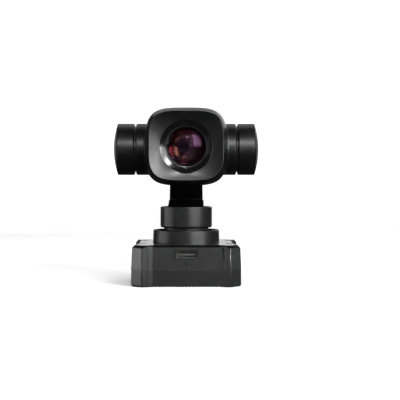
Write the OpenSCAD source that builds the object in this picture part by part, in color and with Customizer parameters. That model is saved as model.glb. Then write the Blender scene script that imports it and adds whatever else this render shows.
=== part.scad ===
// Three-axis camera gimbal on a square base, in millimetres.
// The origin is the centre of the base's underside, on the yaw axis.
// +Z is up, the lens looks along -Y and +X is to the right.

/* [Base case] */
// Width of the base across its corner posts
base_w = 42.4; // [41:0.2:46]
// Height of the base's top face
base_h = 16; // [15.6:0.1:18]
// Height of the seam between the two case halves
seam_z = 6.7; // [6.4:0.1:7.2]
// Wall of the base case
case_wall = 1.5; // [1.2:0.1:1.8]
// Thickness of the base's floor
case_floor = 2; // [1.6:0.1:2.4]
// Depth of the side flats behind the corner posts
side_recess = 2; // [1.4:0.1:2.4]
// Depth of the flute's middle step behind the corner posts
side_step = 1; // [0.6:0.1:1.2]
// Leg of the chamfer on each corner post
corner_chamfer = 4; // [3:0.2:5]
// How far the upper case leans in towards its top on each side
case_draft = 0.35; // [0:0.05:0.6]
// Width of the bevel round the top face
top_bevel_w = 1.1; // [0.8:0.05:1.4]
// Drop of the bevel round the top face
top_bevel_h = 1.1; // [0.8:0.1:1.4]
// Chamfer round the underside
foot_chamfer = 0.6; // [0.3:0.1:0.9]
// Pitch of the cooling grooves in the underside
groove_pitch = 1.3; // [1:0.1:2]
// Depth of the cooling grooves in the underside
groove_depth = 0.45; // [0.3:0.05:0.8]

/* [Base mount] */
// Hole to hole distance of the four threaded holes in the underside
mount_spacing = 33; // [31:0.5:34]
// Bore of each threaded hole
mount_hole_d = 2.05; // [1.6:0.05:2.5]
// Depth of each threaded hole
mount_depth = 5; // [3:0.1:5.5]

/* [Port, pinhole and card] */
// Width of the port opening
port_w = 9.2; // [8.9:0.1:10]
// Height of the port opening
port_h = 3.55; // [3.3:0.05:3.8]
// Height of the port's centre line
port_z = 12.4; // [12:0.1:12.6]
// Diameter of the pinhole under the port
pinhole_d = 0.92; // [0.7:0.02:1.2]
// Height of the pinhole
pinhole_z = 8.8; // [8.6:0.1:9]
// Width of the memory card
card_w = 11; // [10:0.1:11.4]
// Length of the memory card
card_l = 15; // [14:0.1:16]
// Thickness of the memory card
card_t = 0.8; // [0.6:0.05:1]
// How far the seated card stands out of its slot
card_out = 2.7; // [1:0.1:3]
// Thickness of the main board
board_t = 1; // [0.8:0.1:1.4]

/* [Motors] */
// Outer radius of the motor housings and drums
motor_r = 10.25; // [10:0.05:11]
// Depth of a motor housing from its floor to its rim
motor_h = 6.55; // [6.2:0.05:7]
// Wall of a motor housing
motor_wall = 1; // [0.8:0.05:1.2]
// Diameter of the motor shafts
shaft_d = 2; // [1.5:0.1:2.4]
// Outer diameter of the shaft bearings
bearing_d = 5; // [4.4:0.1:5.4]
// Width of one shaft bearing
bearing_w = 1.6; // [1.2:0.05:1.7]
// Radial thickness of the magnets
magnet_t = 0.8; // [0.6:0.05:1]
// Gap of the V groove between a pitch or roll housing and what it drives
groove_gap = 0.5; // [0.4:0.05:0.8]
// Chamfer on each side of the V groove
groove_chamfer = 0.45; // [0.3:0.05:0.6]

/* [Yaw stage] */
// Radius of the lower disc at its foot
disc_r = 13.2; // [12.8:0.05:14]
// Height of the lower disc above the base
disc_h = 5; // [4.8:0.1:5.6]
// Gap between the lower disc and the drum above it
yaw_gap = 1; // [0.6:0.05:1.4]
// Radius of the yaw drum
drum_r = 10.3; // [10:0.05:11]
// Height of the yaw drum
drum_h = 8.3; // [7:0.1:9]

/* [Neck] */
// Width of the neck at its foot
neck_w = 13.9; // [12.6:0.1:14.4]
// Width of the neck at its top
neck_top_w = 13.9; // [12.4:0.1:14.2]
// Front edge of the neck's foot
neck_front = 3.2; // [2:0.1:4]
// Rise of the neck's level run above the yaw drum
neck_rise = 2.6; // [2.4:0.1:3]
// Inside radius of the neck's bend
neck_bend = 6; // [5:0.1:7]
// Thickness of the neck from front to back
neck_t = 5.8; // [5.2:0.1:5.8]
// Wall of the neck
neck_wall = 1.3; // [1:0.1:1.5]

/* [Yoke] */
// Height of the roll and pitch axes above the underside
pitch_z = 53.1; // [52.6:0.1:56]
// Distance from the middle to the outer face of each pitch drum
drum_out = 26.9; // [26.4:0.1:28]
// Rear face of the yoke's crossbar
yoke_back = 24.6; // [24.2:0.1:27]
// Thickness of the crossbar
yoke_t = 4.1; // [3:0.1:4.1]
// Height of the crossbar and arms
yoke_h = 14.5; // [12:0.1:16]
// Where the yoke's arms meet the drums' lugs
yoke_joint = 13; // [12.6:0.1:15]
// Height of the domed end caps
dome_h = 1.9; // [1.2:0.1:2.6]

/* [Camera head] */
// Width of the head
head_w = 31.6; // [30.6:0.1:32]
// Height of the head
head_h = 30.2; // [29.6:0.1:30.8]
// Width of the head's front rim
front_w = 28.8; // [27:0.1:29.8]
// Height of the head's front rim
front_h = 26.9; // [25.6:0.1:27.6]
// Distance from the pitch axis to the front rim
head_front = 19; // [18.4:0.1:19.4]
// Distance from the pitch axis to the back of the head
head_back = 12; // [11.6:0.1:13]
// Wall of the head's shells
head_wall = 1.4; // [1.1:0.1:1.6]
// Height of the lens axis above the pitch axis
lens_rise = 0.8; // [0.4:0.1:1]
// Diameter of the dish's inner edge
dish_d = 20.5; // [19.6:0.1:21.4]
// Depth of the dish behind the front rim
dish_depth = 1.2; // [0.8:0.1:1.5]
// Depth of the cone between the dish and the lens ring
cone_depth = 2.3; // [1.6:0.1:2.6]
// Outer diameter of the lens ring
ring_d = 16.2; // [15.6:0.1:16.8]
// Width of the lens ring's edge
ring_w = 0.3; // [0.25:0.05:0.6]

/* [Hidden] */
$fn = 64;
eps = 0.01;
far = 60;
// Clearance round a piece that is fixed in its seat
fit = 0.02;
// Clearance between pieces that move past each other
run_gap = 0.3;
// Clearance round a board or an inner part
slack = 0.3;
// Space left between an end face and its stop
seat_gap = 0.1;

// Screws: radius of the shank, radius and height of the head
case_screw = [0.8, 1.5, 1];
motor_screw = [0.6, 1.1, 0.7];

// Base plan
base_half = base_w / 2;
flat_y = base_half - side_recess;
step_y = base_half - side_step;
post_land = 0.9;
outer_ramp = 1.1;
step_land = 0.8;
inner_ramp = 1.6;
post_x = base_half - corner_chamfer - post_land;
step_x1 = post_x - outer_ramp;
step_x0 = step_x1 - step_land;
flat_x = step_x0 - inner_ramp;
corner_reach = (base_w - corner_chamfer) / sqrt(2);
cavity = flat_y - case_wall;
lid_z = base_h - case_wall;
groove_n = 2 * floor((flat_x + inner_ramp / 2) / groove_pitch);

// Case screws and the four mount bosses
boss_r = 2;
case_screw_in = 0.7;
case_screw_x = cavity - case_screw_in;
case_screw_gap = 1.3;
case_screw_y = card_w / 2 + boss_r + case_screw_gap;
case_screw_floor = 0.8;
case_screw_end = case_floor + case_screw_floor;
mount_boss = 2.8;
block_x = mount_spacing / 2 - mount_boss;

// Memory card, its socket and the boards
slot_gap = 0.15;
card_z = seam_z - slot_gap - card_t;
card_x = -(flat_y + card_out);
socket_wall = 0.3;
socket_side = 0.65;
socket_x0 = -(cavity - slack);
socket_end = 1.9;
socket_x1 = card_x + card_l + socket_end;
board_z = card_z - slot_gap - socket_wall;
board_gap = 0.4;
board_x = block_x - board_gap;
board_y = cavity - slack;
standoff_r = 1.4;
standoff_in = 1.8;
chip_w = 10;
chip_t = 1.1;

// Port socket and its board
port_gap = 0.1;
port_r = 0.95;
port_skin = 0.35;
port_depth = 5.2;
port_length = 6;
port_back = flat_y - port_length;
tongue_w = 6.2;
tongue_t = 0.65;
port_board_z = port_z - port_h / 2 + port_gap;
port_board_t = 0.8;
port_board_w = 16.4;
port_board_in = 1.8;
spacer_r = 1.2;
spacer_x = 6.5;
spacer_in = 3.3;
spacer_y = cavity - spacer_in;
pipe_gap = 0.03;
pipe_w = 1.6;

// Rear signal socket
signal_w = 10;
signal_h = 4.9;
signal_d = 4;
signal_nose_w = 9.2;
signal_nose_h = 3.1;
signal_nose_z = seam_z + slot_gap;

// Motor stack, measured along the axis from the outer face of the housing's floor
motor_floor = 1;
cup_r = motor_r - motor_wall;
bell_gap = 0.35;
bell_r = cup_r - bell_gap;
bell_wall = 0.85;
magnet_r = bell_r - bell_wall - fit;
stator_r = magnet_r - magnet_t - run_gap;
tip_t = 0.65;
tooth_w = 1.2;
tooth_n = 9;
magnet_pairs = 7;
magnet_slit = 0.5;
tube_wall = 0.65;
tube_r = bearing_d / 2 + tube_wall;
stator_core = 1.1;
stator_hub = tube_r + stator_core;
seat_h = 0.6;
disc_t = 1.2;
disc_u = motor_h - disc_t;
tube_u = disc_u - run_gap;
stator_u0 = motor_floor + seat_h;
stator_end = 0.9;
stator_u1 = disc_u - stator_end;
coil_wall = 0.6;
coil_lap = 0.25;
coil_end = 0.25;
tooth_lap = 0.2;
bell_u = motor_floor + seat_h;
shaft_u = motor_floor + run_gap;
rotor_screw_r = 5.4;
rotor_screw_n = 3;

// Yaw stage
yaw_u = base_h + disc_h - motor_h;
drum_z = base_h + disc_h + yaw_gap;
drum_top = drum_z + drum_h;
disc_taper = 0.25;
disc_edge = 0.5;
moat_land = 0.65;
moat_r0 = motor_r + moat_land;
moat_depth = 0.8;
moat_wall = 0.9;
disc_screw_r = (motor_r + disc_r) / 2;
disc_screw_in = 3;
drum_floor = 1.2;
drum_edge = 0.8;
drum_wall = 1.9;
plate_t = 1.3;
plate_in = 0.9;
plate_r = drum_r - plate_in;

// Neck, in the YZ plane
yoke_front = yoke_back - yoke_t;
roll_y = yoke_back + groove_gap + motor_h;
neck_gap = 0.5;
neck_face = yoke_back + groove_gap + neck_gap;
neck_back = neck_face + neck_t;
run_z = drum_top + neck_rise;
under_z = run_z - neck_t;
bend_y = neck_face - neck_bend;
bend_z = run_z + neck_bend;
heel_in = 0.6;
heel_y = drum_r + heel_in;
heel_y2 = heel_y + drum_top - under_z;
neck_top = pitch_z - motor_r / 2;
channel_x = neck_top_w / 2 - neck_wall;
cover_t = 1.2;
cover_top = pitch_z - motor_r - slack;
neck_boss_x = -3;
neck_boss_r = 1.6;
neck_screw_y = (heel_y2 + bend_y) / 2;
neck_screw_z = (bend_z + cover_top) / 2;
neck_screw_l = neck_t - motor_screw[2] - neck_wall + 0.3;
cable_x0 = -0.8;
cable_w = 5.2;
cable_t = 0.3;
cable_y = 3;
cable_slot = 0.3;

// Yoke and drums
arm_in = 0.25;
arm_x0 = drum_out - motor_h + arm_in;
arm_x1 = drum_out - arm_in;
arm_x = (arm_x0 + arm_x1) / 2;
yoke_corner = 4;
yoke_inner = 2.5;
arm_screw_sink = 2.2;
arm_screw_y = yoke_back - arm_screw_sink;
arm_screw_z = 4.5;
arm_screw_bite = 2.2;
arm_screw_l = arm_screw_y - yoke_joint + arm_screw_bite;
dome_edge = 0.35;
dome_lip = 0.25;

// Head, in the frame of the pitch axis
head_z = pitch_z + lens_rise;
square_n = 3.8;
ring_n = 48;
bevel_depth = 5.5;
hub_fillet = 0.5;
hub_base_r = motor_r + hub_fillet;
hub_web = 1.6;
hub_in_r = 8.4;
hub_bore = 3;
pocket_depth = 1.9;
pocket_x = head_w / 2 - pocket_depth;
pad_t = 1.6;
split_gap = 0.35;
split_y = -(hub_base_r + split_gap);
back_round = 9;
back_shrink = 4;
dish_y = -head_front + dish_depth;
cone_y = dish_y + cone_depth;
ring_r = ring_d / 2;
cone_step = 0.2;
cone_r = ring_r + cone_step;
rim_land = 0.3;
front_plate_t = 1;
plate_y = cone_y + front_plate_t;
guide_wall = 1.1;
guide_r = ring_r + guide_wall;
ring_l = 1.9;
lens_edge_y = cone_y + ring_l;
lens_r = ring_r - ring_w - fit;
lens_crown = 0.9;
lens_rim_t = 1.2;
barrel_wall = 1.3;
barrel_back = 1;
sensor_w = 9;
sensor_h = 7;
sensor_t = 0.8;
sensor_board_w = 17;
sensor_board_h = 12;
post_r = 2.2;
post_sx = 8.9;
post_sz = 9;
head_screw_grip = 5;
head_screw_y = split_y + head_screw_grip;
head_screw_in = 3.6;
hub_screw_n = 3;
hub_screw_grip = 2.2;
hub_screw_r = (hub_in_r + motor_r) / 2;

// Places: each turns +Z of what it holds into the motor axis that it names
module on_yaw() {
    translate([0, 0, yaw_u]) children();
}

module on_roll() {
    translate([0, roll_y, pitch_z]) rotate([90, 0, 0]) children();
}

module on_left() {
    translate([-drum_out, 0, pitch_z]) rotate([0, 90, 0]) children();
}

module on_right() {
    translate([drum_out, 0, pitch_z]) rotate([0, -90, 0]) children();
}

module on_lens(y) {
    translate([0, y, head_z]) rotate([-90, 0, 0]) children();
}

module four_corners(x, y) {
    for (sx = [-1, 1], sy = [-1, 1]) translate([sx * x, sy * y, 0]) children();
}

module both_sides() {
    for (side = [0, 1]) mirror([side, 0, 0]) children();
}

module quadrants() {
    for (side = [0, 1]) mirror([0, side, 0]) both_sides() children();
}

// Plain forms
function arc(cx, cy, r, a0, a1, n = 8) =
    [for (i = [0 : n]) let (a = a0 + (a1 - a0) * i / n) [cx + r * cos(a), cy + r * sin(a)]];

function rounded_rect(w, h, r) = concat(
    arc(w / 2 - r, h / 2 - r, r, 0, 90),
    arc(-w / 2 + r, h / 2 - r, r, 90, 180),
    arc(-w / 2 + r, -h / 2 + r, r, 180, 270),
    arc(w / 2 - r, -h / 2 + r, r, 270, 360)
);

module block(x0, x1, y0, y1, z0, z1) {
    translate([x0, y0, z0]) cube([x1 - x0, y1 - y0, z1 - z0]);
}

module tube(r_out, r_in, h) {
    difference() {
        cylinder(r = r_out, h = h);
        translate([0, 0, -1]) cylinder(r = r_in, h = h + 2);
    }
}

// A profile drawn in the YZ plane, extruded to both sides of x
module side_profile(points, x0, x1) {
    translate([x0, 0, 0]) rotate([90, 0, 90]) linear_extrude(x1 - x0) polygon(points);
}

// A profile drawn in the XZ plane, extruded from y0 to y1
module front_profile(points, y0, y1) {
    translate([0, y1, 0]) rotate([90, 0, 0]) linear_extrude(y1 - y0) polygon(points);
}

// A screw with its head's underside at z = 0 and its shank pointing down
module screw(size, length) {
    translate([0, 0, -length]) cylinder(r = size[0], h = length + eps);
    cylinder(r = size[1], h = size[2]);
}

// The hole that a screw of this size passes through, with room for its head
module screw_hole(size, length, head_room) {
    translate([0, 0, -length]) cylinder(r = size[0] + fit, h = length + eps);
    cylinder(r = size[1] + 0.1, h = head_room);
}

// A rounded square ring of points in the XZ plane at y
function sgn_pow(v, p) = sign(v) * pow(abs(v), p);

function square_ring(a, b, n, y) = [
    for (i = [0 : ring_n - 1])
        let (t = 360 * (i + 0.5) / ring_n)
        [a * sgn_pow(cos(t), 2 / n), y, b * sgn_pow(sin(t), 2 / n)]
];

// A closed skin through rings that follow each other along +Y
module loft(rings) {
    count = len(rings);
    sides = [
        for (k = [0 : count - 2], i = [0 : ring_n - 1])
            let (j = (i + 1) % ring_n, p = k * ring_n, q = p + ring_n)
            each [[p + i, p + j, q + j], [p + i, q + j, q + i]]
    ];
    front = [for (i = [ring_n - 1 : -1 : 0]) i];
    back = [for (i = [0 : ring_n - 1]) (count - 1) * ring_n + i];
    polyhedron([for (r = rings) each r], concat([front], sides, [back]));
}

// Motor pieces, on +Z from the outer face of the housing's floor
module motor_drum() {
    rotate_extrude() polygon([
        [0, 0],
        [motor_r, 0],
        [motor_r, motor_h - groove_chamfer],
        [motor_r - groove_chamfer, motor_h],
        [0, motor_h]
    ]);
}

module motor_cup() {
    difference() {
        union() {
            motor_drum();
            children();
        }
        translate([0, 0, motor_floor]) tube(cup_r, stator_hub, motor_h);
        translate([0, 0, stator_u0]) tube(stator_hub + 0.1, tube_r, motor_h);
        translate([0, 0, tube_u]) cylinder(r = stator_hub, h = motor_h);
        translate([0, 0, motor_floor]) cylinder(r = bearing_d / 2 + fit, h = motor_h);
    }
}

module motor_stator() {
    translate([0, 0, stator_u0]) {
        h = stator_u1 - stator_u0;
        tube(stator_hub, tube_r + fit, h);
        for (i = [0 : tooth_n - 1]) rotate(360 * i / tooth_n)
            translate([stator_hub - tooth_lap, -tooth_w / 2, 0])
                cube([stator_r - stator_hub - tooth_lap, tooth_w, h]);
        difference() {
            tube(stator_r, stator_r - tip_t, h);
            for (i = [0 : tooth_n - 1]) rotate(360 * (i + 0.5) / tooth_n)
                translate([0, -tooth_w / 2, -1]) cube([far, tooth_w, h + 2]);
        }
    }
}

module motor_coils() {
    r0 = stator_hub + fit;
    r1 = stator_r - tip_t - coil_end;
    h = stator_u1 - stator_u0;
    for (i = [0 : tooth_n - 1]) rotate(360 * i / tooth_n) difference() {
        translate([r0, -tooth_w / 2 - coil_wall, stator_u0 - coil_lap])
            cube([r1 - r0, tooth_w + 2 * coil_wall, h + 2 * coil_lap]);
        translate([0, -tooth_w / 2 - fit, stator_u0 - fit]) cube([far, tooth_w + 2 * fit, h + 2 * fit]);
    }
}

module motor_bearings() {
    for (u = [motor_floor, tube_u - bearing_w])
        translate([0, 0, u]) tube(bearing_d / 2, shaft_d / 2 + fit, bearing_w);
}

module rotor_screw_places(u) {
    for (i = [0 : rotor_screw_n - 1]) rotate(360 * i / rotor_screw_n)
        translate([rotor_screw_r, 0, u]) children();
}

module motor_rotor(gap) {
    top = motor_h + gap;
    difference() {
        translate([0, 0, bell_u]) cylinder(r = bell_r, h = top - bell_u);
        translate([0, 0, bell_u - 1]) cylinder(r = bell_r - bell_wall, h = disc_u - bell_u + 1);
        translate([0, 0, disc_u - 1]) cylinder(r = shaft_d / 2 + fit, h = far);
        rotor_screw_places(top) screw_hole(motor_screw, far, 1);
    }
}

module motor_magnets() {
    translate([0, 0, stator_u0 + seat_gap]) difference() {
        tube(magnet_r, magnet_r - magnet_t, stator_u1 - stator_u0 - 2 * seat_gap);
        for (i = [0 : magnet_pairs - 1]) rotate(180 * i / magnet_pairs)
            cube([far, magnet_slit, far], center = true);
    }
}

module motor_shaft(gap) {
    translate([0, 0, shaft_u]) cylinder(r = shaft_d / 2, h = motor_h + gap - shaft_u);
}

// The lug that carries a pitch drum on the yoke's arm
module drum_lug() {
    block(-yoke_h / 2, yoke_h / 2, motor_r / 2, yoke_joint, drum_out - arm_x1, drum_out - arm_x0);
}

module arm_screw_places() {
    for (x = [-arm_x, arm_x], z = [-arm_screw_z, arm_screw_z])
        translate([x, arm_screw_y, pitch_z + z]) rotate([-90, 0, 0]) children();
}

module pitch_cup() {
    motor_cup() drum_lug();
}

module end_dome() {
    r = motor_r - dome_lip;
    rise = dome_h - dome_edge;
    rotate_extrude() polygon(concat(
        [[0, 0], [motor_r, 0], [motor_r, dome_lip / 2]],
        [for (i = [8 : -1 : 0]) [r * i / 8, dome_edge + rise * (1 - pow(i / 8, 2))]]
    ));
}

module hub_collar() {
    u0 = motor_h + groove_gap;
    u1 = drum_out - pocket_x;
    u2 = drum_out - head_w / 2 + 0.1;
    difference() {
        rotate_extrude() polygon(concat(
            [[0, u0], [motor_r - groove_chamfer, u0], [motor_r, u0 + groove_chamfer]],
            arc(hub_base_r, u2 - hub_fillet, hub_fillet, 180, 90, 5),
            [[hub_base_r, u1], [0, u1]]
        ));
        translate([0, 0, u0 + hub_web]) cylinder(r = hub_in_r, h = far);
        cylinder(r = hub_bore, h = far);
        rotor_screw_places(u0) cylinder(r = motor_screw[0] + fit, h = 4 * hub_web, center = true);
        hub_screw_places(u1) cylinder(r = motor_screw[0] + fit, h = 2 * hub_screw_grip, center = true);
    }
}

module hub_screw_places(u) {
    for (i = [0 : hub_screw_n - 1]) rotate(360 * i / hub_screw_n - 90)
        translate([hub_screw_r, 0, u]) children();
}

// Base case
module base_plan() {
    half = [
        [flat_x, -flat_y], [step_x0, -step_y], [step_x1, -step_y],
        [post_x + outer_ramp, -base_half - side_step]
    ];
    front = concat([for (i = [3 : -1 : 0]) [-half[i][0], half[i][1]]], half);
    polygon([for (q = [0 : 3], p = front) [
        p[0] * cos(90 * q) - p[1] * sin(90 * q),
        p[0] * sin(90 * q) + p[1] * cos(90 * q)
    ]]);
}

module lower_envelope(reach) {
    front_profile([
        [-reach + foot_chamfer, 0], [reach - foot_chamfer, 0], [reach, foot_chamfer], [reach, seam_z],
        [-reach, seam_z], [-reach, foot_chamfer]
    ], -far, far);
}

module upper_envelope(reach) {
    shoulder = reach - case_draft;
    top = shoulder - top_bevel_w;
    front_profile([
        [-reach, seam_z], [reach, seam_z], [shoulder, base_h - top_bevel_h], [top, base_h],
        [-top, base_h], [-shoulder, base_h - top_bevel_h]
    ], -far, far);
}

module case_screw_places(z) {
    translate([0, 0, z]) four_corners(case_screw_x, case_screw_y) children();
}

module base_lower_case() {
    color("#343537") difference() {
        intersection() {
            linear_extrude(seam_z) base_plan();
            lower_envelope(base_half);
            rotate(90) lower_envelope(base_half);
            rotate(45) lower_envelope(corner_reach);
            rotate(135) lower_envelope(corner_reach);
        }
        difference() {
            block(-cavity, cavity, -cavity, cavity, case_floor, far);
            quadrants() block(block_x, far, block_x, far, 0, far);
            case_screw_places(0) cylinder(r = boss_r, h = far);
            four_corners(board_x - standoff_in, board_y - standoff_in)
                cylinder(r = standoff_r, h = board_z - board_t);
        }
        for (i = [0 : groove_n - 1]) translate([(i - (groove_n - 1) / 2) * groove_pitch, 0, 0])
            cube([groove_pitch / 2, far, 2 * groove_depth], center = true);
        four_corners(mount_spacing / 2, mount_spacing / 2)
            translate([0, 0, -1]) cylinder(d = mount_hole_d, h = mount_depth + 1);
        case_screw_places(seam_z) screw_hole(case_screw, seam_z - case_screw_end, far);
        block(-far, -cavity / 2, -card_w / 2 - slot_gap, card_w / 2 + slot_gap, card_z - slot_gap, far);
    }
}

module base_upper_case() {
    color("#404143") difference() {
        intersection() {
            translate([0, 0, seam_z]) linear_extrude(base_h - seam_z) base_plan();
            upper_envelope(base_half);
            rotate(90) upper_envelope(base_half);
            rotate(45) upper_envelope(corner_reach);
            rotate(135) upper_envelope(corner_reach);
        }
        difference() {
            block(-cavity, cavity, -cavity, cavity, 0, lid_z);
            case_screw_places(0) cylinder(r = boss_r, h = far);
        }
        cylinder(r = motor_r + fit, h = far);
        case_screw_places(base_h - case_screw[2] - 0.1) screw_hole(case_screw, base_h, far);
        disc_screw_places(lid_z) cylinder(r = motor_screw[0] + fit, h = far, center = true);
        translate([0, 0, port_z]) front_profile(rounded_rect(port_w, port_h, port_r), -far, -port_back);
        translate([0, -port_back, pinhole_z]) rotate([90, 0, 0]) cylinder(d = pinhole_d, h = far);
        block(-signal_nose_w / 2 - port_gap, signal_nose_w / 2 + port_gap, 0, far,
            signal_nose_z - port_gap, signal_nose_z + signal_nose_h + port_gap);
    }
}

module case_screws() {
    color("#5a5b5e") case_screw_places(base_h - case_screw[2] - 0.1)
        screw(case_screw, base_h - case_screw[2] - 0.1 - case_screw_end - 0.1);
}

// Boards and sockets in the base
module main_board() {
    color("#1d4a35") {
        block(-board_x, board_x, -board_y, board_y, board_z - board_t, board_z);
        block(-chip_w / 2, chip_w / 2, -chip_w / 2, chip_w / 2, board_z - board_t - chip_t,
            board_z - board_t + eps);
    }
}

module board_spacers() {
    color("#b9a15a") translate([0, -spacer_y, board_z]) both_sides() translate([spacer_x, 0, 0])
        cylinder(r = spacer_r, h = port_board_z - port_board_t - board_z);
}

module port_board() {
    color("#1d4a35") block(-port_board_w / 2, port_board_w / 2, -cavity + slack, -spacer_y + port_board_in,
        port_board_z - port_board_t, port_board_z);
}

module port_socket() {
    w = port_w - 2 * port_gap;
    h = port_h - 2 * port_gap;
    color("#4a4b4d") translate([0, 0, port_z]) difference() {
        front_profile(rounded_rect(w, h, port_r - port_gap), -flat_y + port_gap, -port_back);
        front_profile(rounded_rect(w - 2 * port_skin, h - 2 * port_skin, port_r - port_gap - port_skin),
            -far, -flat_y + port_depth);
    }
}

module port_tongue() {
    color("#57585b") block(-tongue_w / 2, tongue_w / 2, -flat_y + 0.7, -flat_y + port_depth,
        port_z - tongue_t / 2, port_z + tongue_t / 2);
}

module status_light_pipe() {
    y0 = -flat_y + 0.4;
    y1 = -cavity + slack + 0.2;
    color("#0c0c0d") {
        translate([0, y1 + 0.5, pinhole_z]) rotate([90, 0, 0])
            cylinder(r = pinhole_d / 2 - pipe_gap, h = y1 + 0.5 - y0);
        block(-pipe_w / 2, pipe_w / 2, y1, y1 + pipe_w, pinhole_z - pipe_w / 2, port_board_z - port_board_t);
    }
}

module card_socket() {
    half = card_w / 2 + slot_gap;
    color("#8f9194") difference() {
        block(socket_x0, socket_x1, -half - socket_side, half + socket_side, board_z,
            card_z + card_t + slot_gap + socket_wall);
        block(-far, socket_x1 - 0.7, -half, half, card_z - slot_gap, card_z + card_t + slot_gap);
    }
}

module memory_card() {
    notch = 1.2;
    x1 = card_x + card_l;
    half = card_w / 2;
    color("#17181a") translate([0, 0, card_z]) linear_extrude(card_t) polygon([
        [card_x, -half], [x1, -half], [x1, half - 2 * notch], [x1 - notch, half - notch],
        [x1 - 4 * notch, half - notch], [x1 - 5 * notch, half], [card_x, half]
    ]);
}

module rear_signal_socket() {
    y1 = cavity - slack;
    y2 = flat_y - port_gap;
    z1 = signal_nose_z + signal_nose_h;
    color("#d8d4c6") difference() {
        union() {
            block(-signal_w / 2, signal_w / 2, y1 - signal_d, y1, board_z, board_z + signal_h);
            block(-signal_nose_w / 2, signal_nose_w / 2, y1 - 1, y2, signal_nose_z, z1);
        }
        block(-signal_nose_w / 2 + 0.4, signal_nose_w / 2 - 0.4, y1 - signal_d + 0.8, far,
            signal_nose_z + 0.4, z1 - 0.4);
    }
}

// Yaw stage
module disc_screw_places(z) {
    for (i = [0 : 3]) rotate(45 + 90 * i) translate([disc_screw_r, 0, z]) children();
}

module yaw_motor_housing() {
    top_r = disc_r - disc_taper;
    z0 = motor_h - disc_h;
    moat_r1 = top_r - moat_wall;
    color("#3b3c3e") on_yaw() difference() {
        motor_cup() rotate_extrude() polygon(concat(
            [[motor_r / 2, z0], [disc_r, z0]],
            arc(top_r - disc_edge, motor_h - disc_edge, disc_edge, 0, 90, 5),
            [[moat_r1, motor_h], [moat_r1, motor_h - moat_depth], [moat_r0, motor_h - moat_depth],
                [moat_r0, motor_h], [motor_r / 2, motor_h]]
        ));
        disc_screw_places(0) cylinder(r = motor_screw[0] + fit, h = z0 + disc_screw_in + 0.2);
    }
}

module yaw_housing_screws() {
    color("#6a6b6e") disc_screw_places(lid_z) rotate([180, 0, 0])
        screw(motor_screw, case_wall + disc_screw_in);
}

module yaw_stator() {
    color("#77797c") on_yaw() motor_stator();
}

module yaw_coils() {
    color("#b0672e") on_yaw() motor_coils();
}

module yaw_bearings() {
    color("#b9bbbe") on_yaw() motor_bearings();
}

module yaw_rotor() {
    color("#2a2b2d") on_yaw() motor_rotor(yaw_gap);
}

module yaw_magnets() {
    color("#8d8f93") on_yaw() motor_magnets();
}

module yaw_shaft() {
    color("#c2c4c8") on_yaw() motor_shaft(yaw_gap);
}

module yaw_drum() {
    e = drum_edge;
    color("#333436") translate([0, 0, drum_z]) difference() {
        rotate_extrude() polygon(concat(
            [[0, 0]],
            arc(drum_r - e, e, e, -90, 0, 5),
            arc(drum_r - e, drum_h - e, e, 0, 90, 5),
            [[0, drum_h]]
        ));
        translate([0, 0, drum_floor]) cylinder(r = drum_r - drum_wall, h = far);
        translate([0, 0, drum_h - plate_t]) cylinder(r = plate_r + fit, h = far);
        cylinder(r = shaft_d / 2 + 0.5, h = far, center = true);
    }
}

// Neck
module neck_outline() {
    side_profile(concat(
        [[-neck_front, drum_top], [-neck_front + neck_rise, run_z]],
        arc(bend_y, bend_z, neck_bend, -90, 0),
        [[neck_face, neck_top], [neck_back, neck_top]],
        arc(bend_y, bend_z, neck_bend + neck_t, 0, -90),
        [[heel_y2, under_z], [heel_y, drum_top]]
    ), -neck_w, neck_w);
}

module neck_taper() {
    front_profile([
        [-neck_w / 2, drum_top - far], [neck_w / 2, drum_top - far], [neck_w / 2, drum_top],
        [neck_top_w / 2, bend_z], [neck_top_w / 2, neck_top + 1], [-neck_top_w / 2, neck_top + 1],
        [-neck_top_w / 2, bend_z], [-neck_w / 2, drum_top]
    ], -far, far);
}

module neck_channel() {
    over = neck_bend + neck_t + 2;
    side_profile(concat(
        [[cable_y - 1, drum_top], [cable_y - 1, run_z - neck_wall]],
        arc(bend_y, bend_z, neck_bend + neck_wall, -90, 0),
        [[neck_face + neck_wall, far], [bend_y + over, far]],
        arc(bend_y, bend_z, over, 0, -90),
        [[heel_y, bend_z - over], [heel_y, drum_top]]
    ), -channel_x, channel_x);
}

module neck_screw_places() {
    translate([neck_boss_x, neck_screw_y, under_z + motor_screw[2]]) rotate([180, 0, 0]) children();
    translate([neck_boss_x, neck_back - motor_screw[2], neck_screw_z]) rotate([-90, 0, 0]) children();
}

module neck_arm() {
    cable_x1 = cable_x0 + cable_w;
    color("#161617") difference() {
        union() {
            difference() {
                intersection() {
                    neck_outline();
                    neck_taper();
                }
                neck_channel();
            }
            intersection() {
                neck_screw_places() translate([0, 0, -neck_t])
                    cylinder(r = neck_boss_r, h = neck_t - cover_t + motor_screw[2]);
                neck_outline();
            }
            translate([0, 0, drum_top - plate_t]) cylinder(r = plate_r, h = plate_t);
            block(-channel_x, channel_x, -neck_front / 2, cable_y - 1.2,
                  drum_top - plate_t / 2, drum_top + 1);
        }
        neck_screw_places() screw_hole(motor_screw, neck_screw_l + 0.2, far);
        block(cable_x0 - cable_slot, cable_x1 + cable_slot, cable_y - cable_slot,
            cable_y + cable_t + cable_slot, 0, run_z - neck_wall);
        translate([0, far, pitch_z]) rotate([90, 0, 0]) cylinder(r = motor_r + fit, h = 2 * far);
    }
}

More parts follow.
